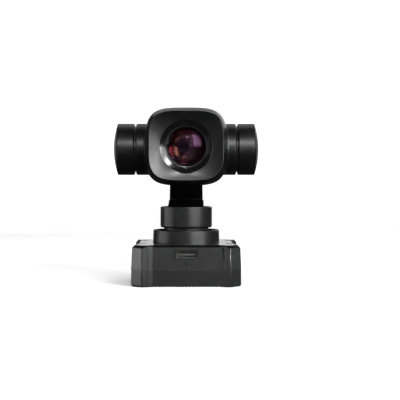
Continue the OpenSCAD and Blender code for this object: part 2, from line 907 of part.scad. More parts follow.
module neck_cover() {
    inset = cover_t * tan(22.5);
    color("#1a1a1b") difference() {
        side_profile(concat(
            [[heel_y, drum_top], [heel_y2, under_z]],
            arc(bend_y, bend_z, neck_bend + neck_t, -90, 0),
            [[neck_back, cover_top], [neck_back - cover_t, cover_top]],
            arc(bend_y, bend_z, neck_bend + neck_t - cover_t, 0, -90),
            [[heel_y2 + inset, under_z + cover_t], [heel_y + cover_t * sqrt(2), drum_top]]
        ), -channel_x + fit, channel_x - fit);
        neck_screw_places() screw_hole(motor_screw, neck_t, far);
    }
}

module neck_screws() {
    color("#5a5b5e") neck_screw_places() screw(motor_screw, neck_screw_l);
}

module neck_flex_cable() {
    top = run_z - neck_wall - fit;
    r0 = neck_bend + neck_wall + fit;
    y1 = bend_y + r0;
    color("#6b4a1c") side_profile(concat(
        [[cable_y, drum_z + drum_floor], [cable_y, top]],
        arc(bend_y, bend_z, r0, -90, 0),
        [[y1, cover_top], [y1 + cable_t, cover_top]],
        arc(bend_y, bend_z, r0 + cable_t, 0, -90),
        [[cable_y + cable_t, top - cable_t], [cable_y + cable_t, drum_z + drum_floor]]
    ), cable_x0, cable_x0 + cable_w);
}

// Roll stage
module roll_motor_housing() {
    color("#1b1b1c") on_roll() motor_cup();
}

module roll_stator() {
    color("#77797c") on_roll() motor_stator();
}

module roll_coils() {
    color("#b0672e") on_roll() motor_coils();
}

module roll_bearings() {
    color("#b9bbbe") on_roll() motor_bearings();
}

module roll_end_cap() {
    color("#1b1b1c") on_roll() mirror([0, 0, 1]) end_dome();
}

module roll_rotor() {
    color("#2a2b2d") on_roll() motor_rotor(groove_gap);
}

module roll_magnets() {
    color("#8d8f93") on_roll() motor_magnets();
}

module roll_shaft() {
    color("#c2c4c8") on_roll() motor_shaft(groove_gap);
}

// Yoke
module yoke_plan() {
    c = yoke_corner;
    k = yoke_inner;
    polygon(concat(
        [[arm_x1, yoke_joint]],
        arc(arm_x1 - c, yoke_back - c, c, 0, 90),
        arc(-arm_x1 + c, yoke_back - c, c, 90, 180),
        [[-arm_x1, yoke_joint], [-arm_x0, yoke_joint]],
        arc(-arm_x0 + k, yoke_front - k, k, 180, 90),
        arc(arm_x0 - k, yoke_front - k, k, 90, 0),
        [[arm_x0, yoke_joint]]
    ));
}

module yoke() {
    u0 = motor_h + groove_gap;
    color("#1b1b1c") difference() {
        union() {
            translate([0, 0, pitch_z - yoke_h / 2]) linear_extrude(yoke_h) yoke_plan();
            on_roll() translate([0, 0, u0]) rotate_extrude() polygon([
                [0, 0], [motor_r - groove_chamfer, 0], [motor_r, groove_chamfer],
                [motor_r, yoke_t - groove_chamfer], [motor_r - groove_chamfer, yoke_t], [0, yoke_t]
            ]);
        }
        on_roll() rotor_screw_places(u0 + yoke_t - motor_screw[2] - 0.2) screw_hole(motor_screw, far, far);
        on_roll() cylinder(r = shaft_d / 2 + 0.5, h = far);
        arm_screw_places() screw_hole(case_screw, arm_screw_l + 1, far);
    }
}

module yoke_screws() {
    u0 = motor_h + groove_gap;
    color("#5a5b5e") {
        on_roll() rotor_screw_places(u0 + yoke_t - motor_screw[2] - 0.2)
            screw(motor_screw, yoke_t - motor_screw[2] - 0.2 + disc_t - 0.3);
        arm_screw_places() screw(case_screw, arm_screw_l);
    }
}

module pitch_motor_housing() {
    color("#1f1f20") difference() {
        on_left() pitch_cup();
        arm_screw_places() screw_hole(case_screw, arm_screw_l + 0.2, 1);
    }
}

module pitch_stator() {
    color("#77797c") on_left() motor_stator();
}

module pitch_coils() {
    color("#b0672e") on_left() motor_coils();
}

module pitch_bearings() {
    color("#b9bbbe") on_left() motor_bearings();
}

module left_end_cap() {
    color("#1f1f20") on_left() mirror([0, 0, 1]) end_dome();
}

module right_drum() {
    color("#1f1f20") difference() {
        on_right() pitch_cup();
        arm_screw_places() screw_hole(case_screw, arm_screw_l + 0.2, 1);
    }
}

module right_bearings() {
    color("#b9bbbe") on_right() motor_bearings();
}

module right_end_cap() {
    color("#1f1f20") on_right() mirror([0, 0, 1]) end_dome();
}

// Camera head
module pitch_rotor() {
    color("#2a2b2d") on_left() motor_rotor(groove_gap);
}

module pitch_magnets() {
    color("#8d8f93") on_left() motor_magnets();
}

module pitch_shaft() {
    color("#c2c4c8") on_left() motor_shaft(groove_gap);
}

module right_axle() {
    color("#c2c4c8") on_right() difference() {
        union() {
            translate([0, 0, disc_u]) cylinder(r = bell_r, h = motor_h + groove_gap - disc_u);
            motor_shaft(groove_gap - eps);
        }
        rotor_screw_places(motor_h + groove_gap) screw_hole(motor_screw, far, 1);
    }
}

module left_hub_collar() {
    color("#1f1f20") on_left() hub_collar();
}

module right_hub_collar() {
    color("#1f1f20") on_right() hub_collar();
}

module hub_screw_set() {
    rotor_screw_places(motor_h + groove_gap + hub_web) screw(motor_screw, hub_web + disc_t - 0.3);
    hub_screw_places(drum_out - pocket_x + pad_t) screw(motor_screw, pad_t + hub_screw_grip - 0.2);
}

module hub_screws() {
    color("#5a5b5e") {
        on_left() hub_screw_set();
        on_right() hub_screw_set();
    }
}

// Outer rings of the head, from the front rim to the back
function bevel_ring(s) = square_ring(
    (front_w + (head_w - front_w) * sin(90 * s)) / 2,
    (front_h + (head_h - front_h) * sin(90 * s)) / 2,
    square_n, -head_front + bevel_depth * s);

function back_ring(s, inset) = square_ring(
    head_w / 2 - inset - back_shrink * (1 - cos(90 * s)),
    head_h / 2 - inset - back_shrink * (1 - cos(90 * s)),
    square_n, head_back - inset - back_round * (1 - sin(90 * s)));

function dish_ring(s) = square_ring(
    front_w / 2 - rim_land + (dish_d / 2 - front_w / 2 + rim_land) * s,
    front_h / 2 - rim_land + (dish_d / 2 - front_h / 2 + rim_land) * s,
    square_n + (2 - square_n) * s, -head_front + dish_depth * sin(90 * s));

module head_frame() {
    translate([0, 0, head_z]) children();
}

module post_places(y) {
    for (x = [-post_sx, post_sx], z = [-post_sz, post_sz])
        translate([x, y, head_z + z]) rotate([-90, 0, 0]) children();
}

module head_front_bezel() {
    steps = 4;
    wall_a = head_w / 2 - head_wall;
    wall_b = head_h / 2 - head_wall;
    color("#2b2c2e") difference() {
        head_frame() loft(concat(
            [for (i = [0 : steps]) bevel_ring(i / steps)],
            [square_ring(head_w / 2, head_h / 2, square_n, split_y)]
        ));
        head_frame() loft(concat(
            [square_ring(front_w / 2 - rim_land, front_h / 2 - rim_land, square_n, -head_front - 1)],
            [for (i = [0 : steps]) dish_ring(i / steps)]
        ));
        on_lens(dish_y - eps) cylinder(r1 = dish_d / 2, r2 = cone_r, h = cone_depth + eps);
        on_lens(cone_y - eps) cylinder(r = ring_r + fit, h = far);
        difference() {
            head_frame() loft([
                square_ring(wall_a - 1.6, wall_b - 1.6, square_n, plate_y),
                square_ring(wall_a, wall_b, square_n, plate_y + 1.6),
                square_ring(wall_a, wall_b, square_n, split_y + 1)
            ]);
            on_lens(-far) cylinder(r = guide_r, h = 2 * far);
            post_places(-far) cylinder(r = post_r, h = 2 * far);
        }
        post_places(head_screw_y) screw_hole(motor_screw, head_screw_y - split_y + head_screw_in, far);
    }
}

module head_rear_shell() {
    steps = 4;
    pad_x = pocket_x - pad_t;
    color("#1c1c1d") difference() {
        head_frame() loft(concat(
            [square_ring(head_w / 2, head_h / 2, square_n, split_y)],
            [for (i = [0 : steps]) back_ring(i / steps, 0)]
        ));
        difference() {
            head_frame() loft(concat(
                [square_ring(head_w / 2 - head_wall, head_h / 2 - head_wall, square_n, split_y - 1)],
                [for (i = [0 : steps]) back_ring(i / steps, head_wall)]
            ));
            post_places(-far) cylinder(r = post_r, h = 2 * far);
            both_sides() translate([pad_x, 0, pitch_z]) rotate([0, 90, 0]) cylinder(r = hub_base_r, h = far);
        }
        both_sides() translate([pocket_x, 0, pitch_z]) rotate([0, 90, 0])
            cylinder(r = hub_base_r + fit, h = far);
        on_left() hub_screw_places(0) cylinder(r = motor_screw[0] + fit, h = drum_out);
        on_right() hub_screw_places(0) cylinder(r = motor_screw[0] + fit, h = drum_out);
        post_places(head_screw_y) screw_hole(motor_screw, far, far);
    }
}

module head_screws() {
    color("#5a5b5e") post_places(head_screw_y)
        screw(motor_screw, head_screw_y - split_y + head_screw_in - 0.2);
}

// Lens, from its front towards the sensor
module lens_barrel() {
    bore = ring_r - barrel_wall;
    color("#101011") on_lens(lens_edge_y) tube(ring_r, bore, barrel_back - lens_edge_y);
}

module lens_ring() {
    color("#55565a") on_lens(cone_y + seat_gap)
        tube(ring_r, ring_r - ring_w, lens_edge_y - cone_y - seat_gap);
}

module front_lens() {
    color("#3a1f3f") on_lens(lens_edge_y) rotate_extrude() polygon(concat(
        [[0, 0], [lens_r, 0]],
        [for (i = [10 : -1 : 0]) [lens_r * i / 10, -lens_rim_t - lens_crown * (1 - pow(i / 10, 2))]]
    ));
}

module inner_lenses() {
    r = ring_r - barrel_wall - fit;
    depth = barrel_back - lens_edge_y;
    color("#2c2f45") for (share = [0.25, 0.55]) on_lens(lens_edge_y + depth * share) rotate_extrude() polygon(
        concat([[0, 0], [r, 0.4]], [for (i = [6 : -1 : 0]) [r * i / 6, 1.2 + 0.5 * (1 - pow(i / 6, 2))]]));
}

module image_sensor() {
    color("#20242b") head_frame() block(-sensor_w / 2, sensor_w / 2, barrel_back - sensor_t, barrel_back,
        -sensor_h / 2, sensor_h / 2);
}

module sensor_board() {
    color("#1d4a35") head_frame() block(-sensor_board_w / 2, sensor_board_w / 2, barrel_back,
        barrel_back + board_t, -sensor_board_h / 2, sensor_board_h / 2);
}

base_lower_case();
base_upper_case();
case_screws();
main_board();
port_board();
board_spacers();
port_socket();
port_tongue();
status_light_pipe();
card_socket();
memory_card();
rear_signal_socket();
yaw_motor_housing();
yaw_housing_screws();
yaw_stator();
yaw_coils();
yaw_bearings();
yaw_rotor();
yaw_magnets();
yaw_shaft();
yaw_drum();
neck_arm();
neck_cover();
neck_screws();
neck_flex_cable();
roll_motor_housing();
roll_stator();
roll_coils();
roll_bearings();
roll_end_cap();
roll_rotor();
roll_magnets();
roll_shaft();
yoke();
yoke_screws();
pitch_motor_housing();
pitch_stator();
pitch_coils();
pitch_bearings();
left_end_cap();
right_drum();
right_bearings();
right_end_cap();
pitch_rotor();
pitch_magnets();
pitch_shaft();
right_axle();
left_hub_collar();
right_hub_collar();
hub_screws();
head_front_bezel();
head_rear_shell();
head_screws();
lens_barrel();
lens_ring();
front_lens();
inner_lenses();
image_sensor();
sensor_board();
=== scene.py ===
"""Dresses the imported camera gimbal: fine shapes, finishes, studio and camera.

Sizes are millimetres in the classes and metres in the finished meshes.
"""

import logging
import math
from abc import ABC, abstractmethod
from collections.abc import Callable, Iterable, Sequence
from dataclasses import dataclass
from enum import Enum

import bmesh
import bpy
from mathutils import Matrix, Vector


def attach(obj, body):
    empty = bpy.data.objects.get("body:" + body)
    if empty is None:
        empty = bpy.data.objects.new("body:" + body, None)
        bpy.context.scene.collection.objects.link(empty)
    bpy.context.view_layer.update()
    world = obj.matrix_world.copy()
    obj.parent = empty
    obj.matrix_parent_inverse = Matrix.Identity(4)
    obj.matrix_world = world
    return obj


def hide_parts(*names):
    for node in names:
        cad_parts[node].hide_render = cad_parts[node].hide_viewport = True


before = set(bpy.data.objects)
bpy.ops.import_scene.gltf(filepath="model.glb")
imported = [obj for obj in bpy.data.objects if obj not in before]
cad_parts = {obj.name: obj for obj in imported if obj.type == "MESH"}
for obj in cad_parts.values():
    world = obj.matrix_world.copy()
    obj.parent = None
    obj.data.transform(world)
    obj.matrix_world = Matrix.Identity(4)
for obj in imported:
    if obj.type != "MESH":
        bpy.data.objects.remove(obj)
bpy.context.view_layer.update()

log = logging.getLogger("camera_gimbal")

MM = 0.001
SEGMENTS = 128
EDGE_CHORDS = 3
PITCH_CENTRE = (0, 0, 53.1)
LENS_CENTRE = (0, 0, 53.9)
DRUM_RADIUS = 10.25

# Slack in metres, and for places in millimetres
MERGE = 1e-7
TINY = 1e-6
WELD = 2e-6
NEAR = 0.05

# Directions: an edge across an axis, an edge along it and a level face
ACROSS = 0.1
ALONG = 0.9
LEVEL = 0.99
FLAT_ANGLE = math.radians(0.6)
EDGE_ANGLE = math.radians(14)
SMOOTH_ANGLE = math.radians(32)

Point = tuple[float, float]
Spot = tuple[float, float, float]
Rgb = tuple[float, float, float]
Ring = list[bmesh.types.BMVert]
Socket = bpy.types.NodeSocket
Inputs = dict[str | int, object]
RadiusOf = Callable[[Vector, Vector, float], float]
Reshape = Callable[[bmesh.types.BMesh], None]


class Axis(Enum):
    """The axis that a turned piece was spun about."""

    X = 0
    Y = 1
    Z = 2


class Body(Enum):
    """The moving bodies of the gimbal."""

    BASE = "base"
    CARD = "memory_card"
    YAW = "yaw_frame"
    ROLL = "roll_frame"
    HEAD = "camera_head"


class Side(Enum):
    """The two ends of the pitch axis."""

    LEFT = -1
    RIGHT = 1


# Finishes


class Sheet:
    """One material's node tree, with short ways to add and join its nodes."""

    def __init__(self, name: str) -> None:
        """Starts a material with its shader.

        Args:
            name: Name of the material.
        """
        self.material = bpy.data.materials.new(name)
        self.material.use_nodes = True
        self.nodes = self.material.node_tree.nodes
        self.shader = self.nodes["Principled BSDF"]

    def fill(self, node: bpy.types.Node, inputs: Inputs) -> None:
        """Sets or links inputs of a node.

        Args:
            node: The node to fill.
            inputs: A value or a source socket for each input, by name or number.
        """
        for name, value in inputs.items():
            if isinstance(value, Socket):
                self.material.node_tree.links.new(value, node.inputs[name])
            else:
                node.inputs[name].default_value = value

    def add(self, kind: str, inputs: Inputs | None = None, **settings: object) -> bpy.types.Node:
        """Adds a node.

        Args:
            kind: Blender's type name of the node.
            inputs: A value or a source socket for each input.
            settings: Properties of the node itself.

        Returns:
            The new node.
        """
        made = self.nodes.new(kind)
        for name, value in settings.items():
            setattr(made, name, value)
        self.fill(made, inputs or {})
        return made

    def place(self, centre: Sequence[float] = (0, 0, 0), stretch: Sequence[float] = (1, 1, 1)) -> Socket:
        """Object coordinates measured from a centre.

        Args:
            centre: The new origin in millimetres.
            stretch: A factor for each axis.

        Returns:
            The socket with the coordinates.
        """
        source = self.add("ShaderNodeTexCoord").outputs["Object"]
        shift = tuple(-c * MM * s for c, s in zip(centre, stretch))
        made = self.add("ShaderNodeMapping", {"Vector": source, "Location": shift, "Scale": stretch})
        return made.outputs["Vector"]

    def noise(self, at: Socket, size: float, detail: float = 2.0) -> Socket:
        """Noise with features of about that size in millimetres."""
        inputs = {"Vector": at, "Scale": 1 / (size * MM), "Detail": detail}
        return self.add("ShaderNodeTexNoise", inputs).outputs[0]

    def math(self, operation: str, a: Socket | float, b: Socket | float) -> Socket:
        """The result of one sum."""
        return self.add("ShaderNodeMath", {0: a, 1: b}, operation=operation).outputs[0]

    def radius(self, at: Socket, axis: Axis) -> Socket:
        """Distance of a point from an axis through the origin.

        Args:
            at: The point.
            axis: The axis.

        Returns:
            The socket with the distance.
        """
        keep = [1.0, 1.0, 1.0]
        keep[axis.value] = 0.0
        flat = self.add("ShaderNodeVectorMath", {0: at, 1: keep}, operation="MULTIPLY").outputs[0]
        return self.add("ShaderNodeVectorMath", {0: flat}, operation="LENGTH").outputs["Value"]

    def mix(self, factor: Socket, low: Rgb, high: Rgb) -> Socket:
        """A colour between two, by a factor."""
        made = self.add("ShaderNodeMix", {0: factor, 6: (*low, 1), 7: (*high, 1)}, data_type="RGBA")
        return made.outputs[2]

    def remap(self, value: Socket, low: float, high: float, start: float = 0.3, end: float = 0.7) -> Socket:
        """A value moved from one range to another."""
        inputs = {"Value": value, "From Min": start, "From Max": end, "To Min": low, "To Max": high}
        return self.add("ShaderNodeMapRange", inputs).outputs["Result"]

    def bump(self, height: Socket, depth: float) -> None:
        """Gives the shader relief of that depth in millimetres."""
        made = self.add("ShaderNodeBump", {"Height": height, "Strength": 1.0, "Distance": depth * MM})
        self.fill(self.shader, {"Normal": made.outputs["Normal"]})


@dataclass(frozen=True)
class Finish(ABC):
    """A surface finish that makes its material once."""

    name: str
    colour: Rgb
    roughness: float = 0.4
    specular: float = 0.3
    spread: float = 0.12
    swing: float = 0.08

    def material(self) -> bpy.types.Material:
        """The finish's material, made the first time it is asked for.

        Returns:
            The material.
        """
        made = bpy.data.materials.get(self.name)
        if made is None:
            sheet = Sheet(self.name)
            self.paint(sheet)
            made = sheet.material
        return made

    def shade(self, share: float) -> Rgb:
        """The colour, lighter or darker by a share."""
        return tuple(c * (1 + share) for c in self.colour)

    def skin(self, sheet: Sheet, pattern: Socket) -> None:
        """Lets a pattern vary the colour and the roughness a little.

        Args:
            sheet: The material's nodes.
            pattern: The pattern, about 0.3 to 0.7.
        """
        smooth, rough = self.roughness * (1 - self.swing), self.roughness * (1 + self.swing)
        sheet.fill(sheet.shader, {
            "Base Color": sheet.mix(pattern, self.shade(-self.spread), self.shade(self.spread)),
            "Roughness": sheet.remap(pattern, smooth, rough),
            "Specular IOR Level": self.specular,
        })

    @abstractmethod
    def paint(self, sheet: Sheet) -> None:
        """Builds the nodes of the finish."""


@dataclass(frozen=True)
class Moulded(Finish):
    """A moulded shell with a fine spark-eroded grain."""

    cloud: float = 5.0
    grain: float = 0.16
    relief: float = 0.0025

    def paint(self, sheet: Sheet) -> None:
        """Cloudy tone, fine grain.

        Args:
            sheet: The material's nodes.
        """
        at = sheet.place()
        self.skin(sheet, sheet.noise(at, self.cloud, 3))
        sheet.bump(sheet.noise(at, self.grain, 1), self.relief)


@dataclass(frozen=True)
class Turned(Finish):
    """A turned and anodised piece with fine tool lines round its axis."""

    axis: Axis = Axis.Z
    centre: Spot = (0, 0, 0)
    metallic: float = 0.0
    cloud: float = 4.0
    pitch: float = 0.14
    relief: float = 0.0015

    def paint(self, sheet: Sheet) -> None:
        """Lines that run round the wall and the ends.

        Args:
            sheet: The material's nodes.
        """
        at = sheet.place(self.centre)
        depth = sheet.add("ShaderNodeSeparateXYZ", {0: at}).outputs[self.axis.value]
        track = sheet.math("ADD", depth, sheet.radius(at, self.axis))
        inputs = {"W": track, "Scale": 1 / (self.pitch * MM), "Detail": 2.0}
        lines = sheet.add("ShaderNodeTexNoise", inputs, noise_dimensions="1D").outputs[0]
        self.skin(sheet, sheet.noise(at, self.cloud, 3))
        sheet.fill(sheet.shader, {"Metallic": self.metallic})
        sheet.bump(lines, self.relief)


@dataclass(frozen=True)
class Brushed(Finish):
    """Bare or plated metal with fine brush lines."""

    metallic: float = 1.0
    lines: float = 0.08
    stretch: Spot = (0.06, 1, 1)
    relief: float = 0.0012

    def paint(self, sheet: Sheet) -> None:
        """Lines that are long on one axis and short on the others.

        Args:
            sheet: The material's nodes.
        """
        lines = sheet.noise(sheet.place(stretch=self.stretch), self.lines, 2)
        self.skin(sheet, lines)
        sheet.fill(sheet.shader, {"Metallic": self.metallic})
        sheet.bump(lines, self.relief)


@dataclass(frozen=True)
class Banded(Finish):
    """Stacked sheets, wound wire or printed tracks: bands of two tones.

    The wave is the width of one band of Blender's wave texture at scale 1.
    """

    second: Rgb = (0.1, 0.1, 0.1)
    band: float = 0.35
    metallic: float = 0.0
    axis: Axis = Axis.Z
    cloud: float = 1.5
    relief: float = 0.01
    wave: float = 0.314

    def paint(self, sheet: Sheet) -> None:
        """Bands across one axis, roughened by a cloud.

        Args:
            sheet: The material's nodes.
        """
        at = sheet.place()
        inputs = {"Vector": at, "Scale": self.wave / (self.band * MM), "Distortion": 0.4, "Detail": 1.0}
        made = sheet.add("ShaderNodeTexWave", inputs, bands_direction=self.axis.name, wave_type="BANDS")
        bands = made.outputs[1]
        self.skin(sheet, sheet.noise(at, self.cloud, 3))
        sheet.fill(sheet.shader, {
            "Base Color": sheet.mix(bands, self.colour, self.second),
            "Metallic": self.metallic,
        })
        sheet.bump(bands, self.relief)


@dataclass(frozen=True)
class Masked(Finish):
    """A solder-masked board with copper tracks under the mask."""

    track: Rgb = (0.05, 0.17, 0.09)
    second_shade: float = -0.25
    cloud: float = 2.0
    relief: float = 0.01

    def paint(self, sheet: Sheet) -> None:
        """Straight tracks as thin bricks under a glossy mask.

        Args:
            sheet: The material's nodes.
        """
        at = sheet.place()
        bricks = sheet.add("ShaderNodeTexBrick", {
            "Vector": at, "Scale": 300.0, "Mortar Size": 0.012, "Brick Width": 0.9, "Row Height": 0.22,
            "Color1": (*self.colour, 1), "Color2": (*self.shade(self.second_shade), 1),
            "Mortar": (*self.track, 1)})
        self.skin(sheet, sheet.noise(at, self.cloud, 2))
        sheet.fill(sheet.shader, {"Base Color": bricks.outputs["Color"]})
        sheet.bump(bricks.outputs["Fac"], self.relief)


@dataclass(frozen=True)
class PaintedLipShell(Finish):
    """A socket's shell with painted shade on its front lip and painted light inside."""

    # Colour of the painted shade on the front lip
    lip: Rgb = (0, 0, 0)
    painted_lip_y: float = 0.0
    cloud: float = 1.0
    grain: float = 0.12
    relief: float = 0.002

    def paint(self, sheet: Sheet) -> None:
        """Painted shade on the lip and painted light behind it, with a fine grain.

        Args:
            sheet: The material's nodes.
        """
        at = sheet.place()
        depth = sheet.add("ShaderNodeSeparateXYZ", {0: at}).outputs["Y"]
        self.skin(sheet, sheet.noise(at, self.cloud, 2))
        # Painted light inside the socket, painted shade on its front lip
        inside = sheet.math("GREATER_THAN", depth, self.painted_lip_y * MM)
        sheet.fill(sheet.shader, {"Base Color": sheet.mix(inside, self.lip, self.colour)})
        sheet.bump(sheet.noise(at, self.grain, 1), self.relief)


@dataclass(frozen=True)
class Coated(Finish):
    """Optical glass whose coating tints what it mirrors."""

    tint: Rgb = (1, 1, 1)
    rim: Rgb = (0.5, 0.4, 0.5)
    ior: float = 1.5
    reach: float = 7.8
    clear: float = 0.0
    cloud: float = 3.0
    cloud_share: float = 0.06
    fade: Point = (0.55, 1.05)
    roughest: float = 1.5
    centre: Spot = LENS_CENTRE

    def paint(self, sheet: Sheet) -> None:
        """Clear in the middle, darker towards the rim, with a faint coating cloud.

        Args:
            sheet: The material's nodes.
        """
        at = sheet.place(self.centre)
        share = sheet.math("DIVIDE", sheet.radius(at, Axis.Y), self.reach * MM)
        cloud = sheet.noise(at, self.cloud, 2)
        cloudy = sheet.math("ADD", share, sheet.math("MULTIPLY", cloud, self.cloud_share))
        edge = sheet.remap(cloudy, 0.0, 1.0, *self.fade)
        sheet.fill(sheet.shader, {
            "Base Color": sheet.mix(edge, self.colour, self.rim),
            "Roughness": sheet.remap(cloud, self.roughness, self.roughness * self.roughest),
            "Specular IOR Level": self.specular,
            "Specular Tint": (*self.tint, 1),
            "IOR": self.ior,
            "Transmission Weight": self.clear,
        })


BLACK = (0.0012, 0.0012, 0.0013)
SOOT = (0.0016, 0.0016, 0.0017)
DEEP = (0.001, 0.0008, 0.001)

CASE_UPPER = Moulded("case_upper_satin", (0.0158, 0.016, 0.0163), 0.25, 0.85, relief=0.0008)
CASE_LOWER = Moulded("case_lower_satin", (0.0112, 0.0113, 0.0115), 0.25, 0.85, relief=0.0008)
# A black band painted on the top chamfer of the base, as painted shade
EDGE_PAINTED_SHADE = Moulded("case_edge_painted_shade", SOOT, 0.4, 0.1)
DISC_GREY = Turned("disc_grey", (0.006, 0.0061, 0.0063), 0.32, 0.6)
# Black matte painted into the moat and under and inside the upper disc, as painted shade
GAP_PAINTED_SHADE = Turned("gap_painted_shade_matte", (0.0022, 0.0022, 0.0023), 0.8, 0.0)
DRUM_BLACK = Turned("drum_black_turned", BLACK, 0.37, 0.42, axis=Axis.X, centre=PITCH_CENTRE)
ROLL_BLACK = Turned("roll_black_turned", BLACK, 0.37, 0.42, axis=Axis.Y, centre=PITCH_CENTRE)
YOKE_BLACK = Moulded("yoke_black_satin", (0.0045, 0.0045, 0.0048), 0.36, 0.4)
NECK_BLACK = Moulded("neck_black_matte", SOOT, 0.6, 0.02)
HEAD_SATIN = Moulded("head_black_satin", BLACK, 0.3, 0.56, grain=0.12)
HEAD_REAR = Moulded("head_rear_satin", SOOT, 0.4, 0.42, grain=0.12)
CONE_GLOSS = Turned("cone_black_gloss", BLACK, 0.14, 1.0, axis=Axis.Y, centre=LENS_CENTRE, relief=0.0003)
RING_EDGE = Turned(
    "ring_polished_edge", (0.45, 0.45, 0.46), 0.2, 0.5, axis=Axis.Y, centre=LENS_CENTRE, metallic=1.0)
BARREL_BLACK = Turned(
    "barrel_black_matte", (0.003, 0.003, 0.0032), 0.6, 0.08, axis=Axis.Y, centre=LENS_CENTRE)
SCREW_STEEL = Brushed("screw_black_zinc", (0.045, 0.045, 0.048), 0.34, 0.5)
# The port's inside is painted light grey as light, and its front lip painted black as shade
PORT_SHELL_PAINTED = PaintedLipShell("port_shell_painted_light", (0.3, 0.3, 0.304), 0.45, 0.3, lip=(0.002, 0.002, 0.002), painted_lip_y=-18.75)
BRIGHT_STEEL = Brushed("bright_steel", (0.5, 0.5, 0.51), 0.28, 0.5)
NICKEL = Brushed("nickel_plate", (0.45, 0.44, 0.42), 0.3, 0.5)
BRASS = Turned("turned_brass", (0.6, 0.43, 0.16), 0.28, 0.5, metallic=1.0)
GOLD_PAD = Brushed("gilt_contact", (0.6, 0.42, 0.15), 0.26, 0.5)
IRON = Banded(
    "stacked_iron", (0.16, 0.16, 0.165), 0.45, 0.4, second=(0.05, 0.05, 0.052), band=0.2, metallic=0.8)
COPPER = Banded(
    "wound_copper", (0.42, 0.16, 0.06), 0.35, 0.5, second=(0.18, 0.06, 0.02), band=0.15, metallic=0.9)
ROTOR = Turned("rotor_black_anodised", (0.02, 0.02, 0.021), 0.34, 0.4, metallic=0.3)
BOARD = Masked("board_green_mask", (0.018, 0.085, 0.045), 0.25, 0.5)
FLEX = Banded(
    "flex_amber", (0.17, 0.075, 0.014), 0.3, 0.5, second=(0.09, 0.035, 0.007), band=0.6, axis=Axis.X)
TONGUE = Moulded("port_tongue_grey", (0.04, 0.04, 0.041), 0.4, 0.4)
PIPE = Moulded("light_pipe_smoke", (0.003, 0.003, 0.003), 0.25, 0.3)
CARD = Moulded("card_black", (0.012, 0.012, 0.0125), 0.42, 0.3)
NYLON = Moulded("socket_natural_nylon", (0.6, 0.57, 0.48), 0.45, 0.4)
SENSOR = Masked("sensor_glazed", (0.008, 0.01, 0.014), 0.12, 0.5, track=(0.02, 0.025, 0.035))
FRONT_GLASS = Coated(
    "front_glass", (0.97, 0.95, 0.97), 0.08, 0.5, tint=(0.19, 0.1, 0.2), rim=(0.8, 0.7, 0.8), clear=1.0)
RED_GLASS = Coated("red_coated_glass", DEEP, 0.06, 0.5, tint=(0.24, 0.022, 0.014), rim=DEEP, reach=6.7)
AMBER_GLASS = Coated("amber_coated_glass", DEEP, 0.06, 0.5, tint=(0.4, 0.15, 0.1), rim=DEEP, reach=5.0)
VIOLET_GLASS = Coated("violet_coated_glass", DEEP, 0.06, 0.5, tint=(0.14, 0.07, 0.14), rim=DEEP, reach=3.1)
PINK_GLASS = Coated("pink_coated_glass", DEEP, 0.06, 0.5, tint=(0.14, 0.07, 0.1), rim=DEEP, reach=1.9)


# Meshes


def rounded(points: Sequence[Point], radii: Sequence[float], steps: int = 4) -> list[Point]:
    """A closed outline with its corners rounded.

    Args:
        points: Corners of the outline.
        radii: Radius of each corner, 0 for a sharp one.
        steps: Chords of each rounding.

    Returns:
        The points of the rounded outline.
    """
    sharpest, straightest, side_share = 1e-3, 1.569, 0.49
    out: list[Point] = []
    for i, (point, radius) in enumerate(zip(points, radii)):
        here = Vector(point)
        back = Vector(points[i - 1]) - here
        ahead = Vector(points[(i + 1) % len(points)]) - here
        half = back.angle(ahead) / 2 if back.length and ahead.length else 0
        if radius <= 0 or half < sharpest or half > straightest:
            out.append(point)
            continue
        reach = min(radius / math.tan(half), side_share * back.length, side_share * ahead.length)
        middle = here + (back.normalized() + ahead.normalized()).normalized() * (reach / math.cos(half))
        first = here + back.normalized() * reach - middle
        sweep = first.angle_signed(here + ahead.normalized() * reach - middle)
        for k in range(steps + 1):
            turn = Matrix.Rotation(-sweep * k / steps, 2)
            out.append(tuple(middle + turn @ first))
    return out


def along(axis: Axis, origin: Sequence[float], forward: bool = True) -> Matrix:
    """A place whose +Z points along an axis.

    Args:
        axis: The axis to follow.
        origin: Where the place starts, in millimetres.
        forward: False to point against the axis.

    Returns:
        The matrix of the place.
    """
    direction = Vector((0, 0, 0))
    direction[axis.value] = 1 if forward else -1
    turn = Vector((0, 0, 1)).rotation_difference(direction).to_matrix().to_4x4()
    return Matrix.Translation(origin) @ turn


def round_angles() -> list[float]:
    """The angles of the points of one ring."""
    return [2 * math.pi * i / SEGMENTS for i in range(SEGMENTS)]


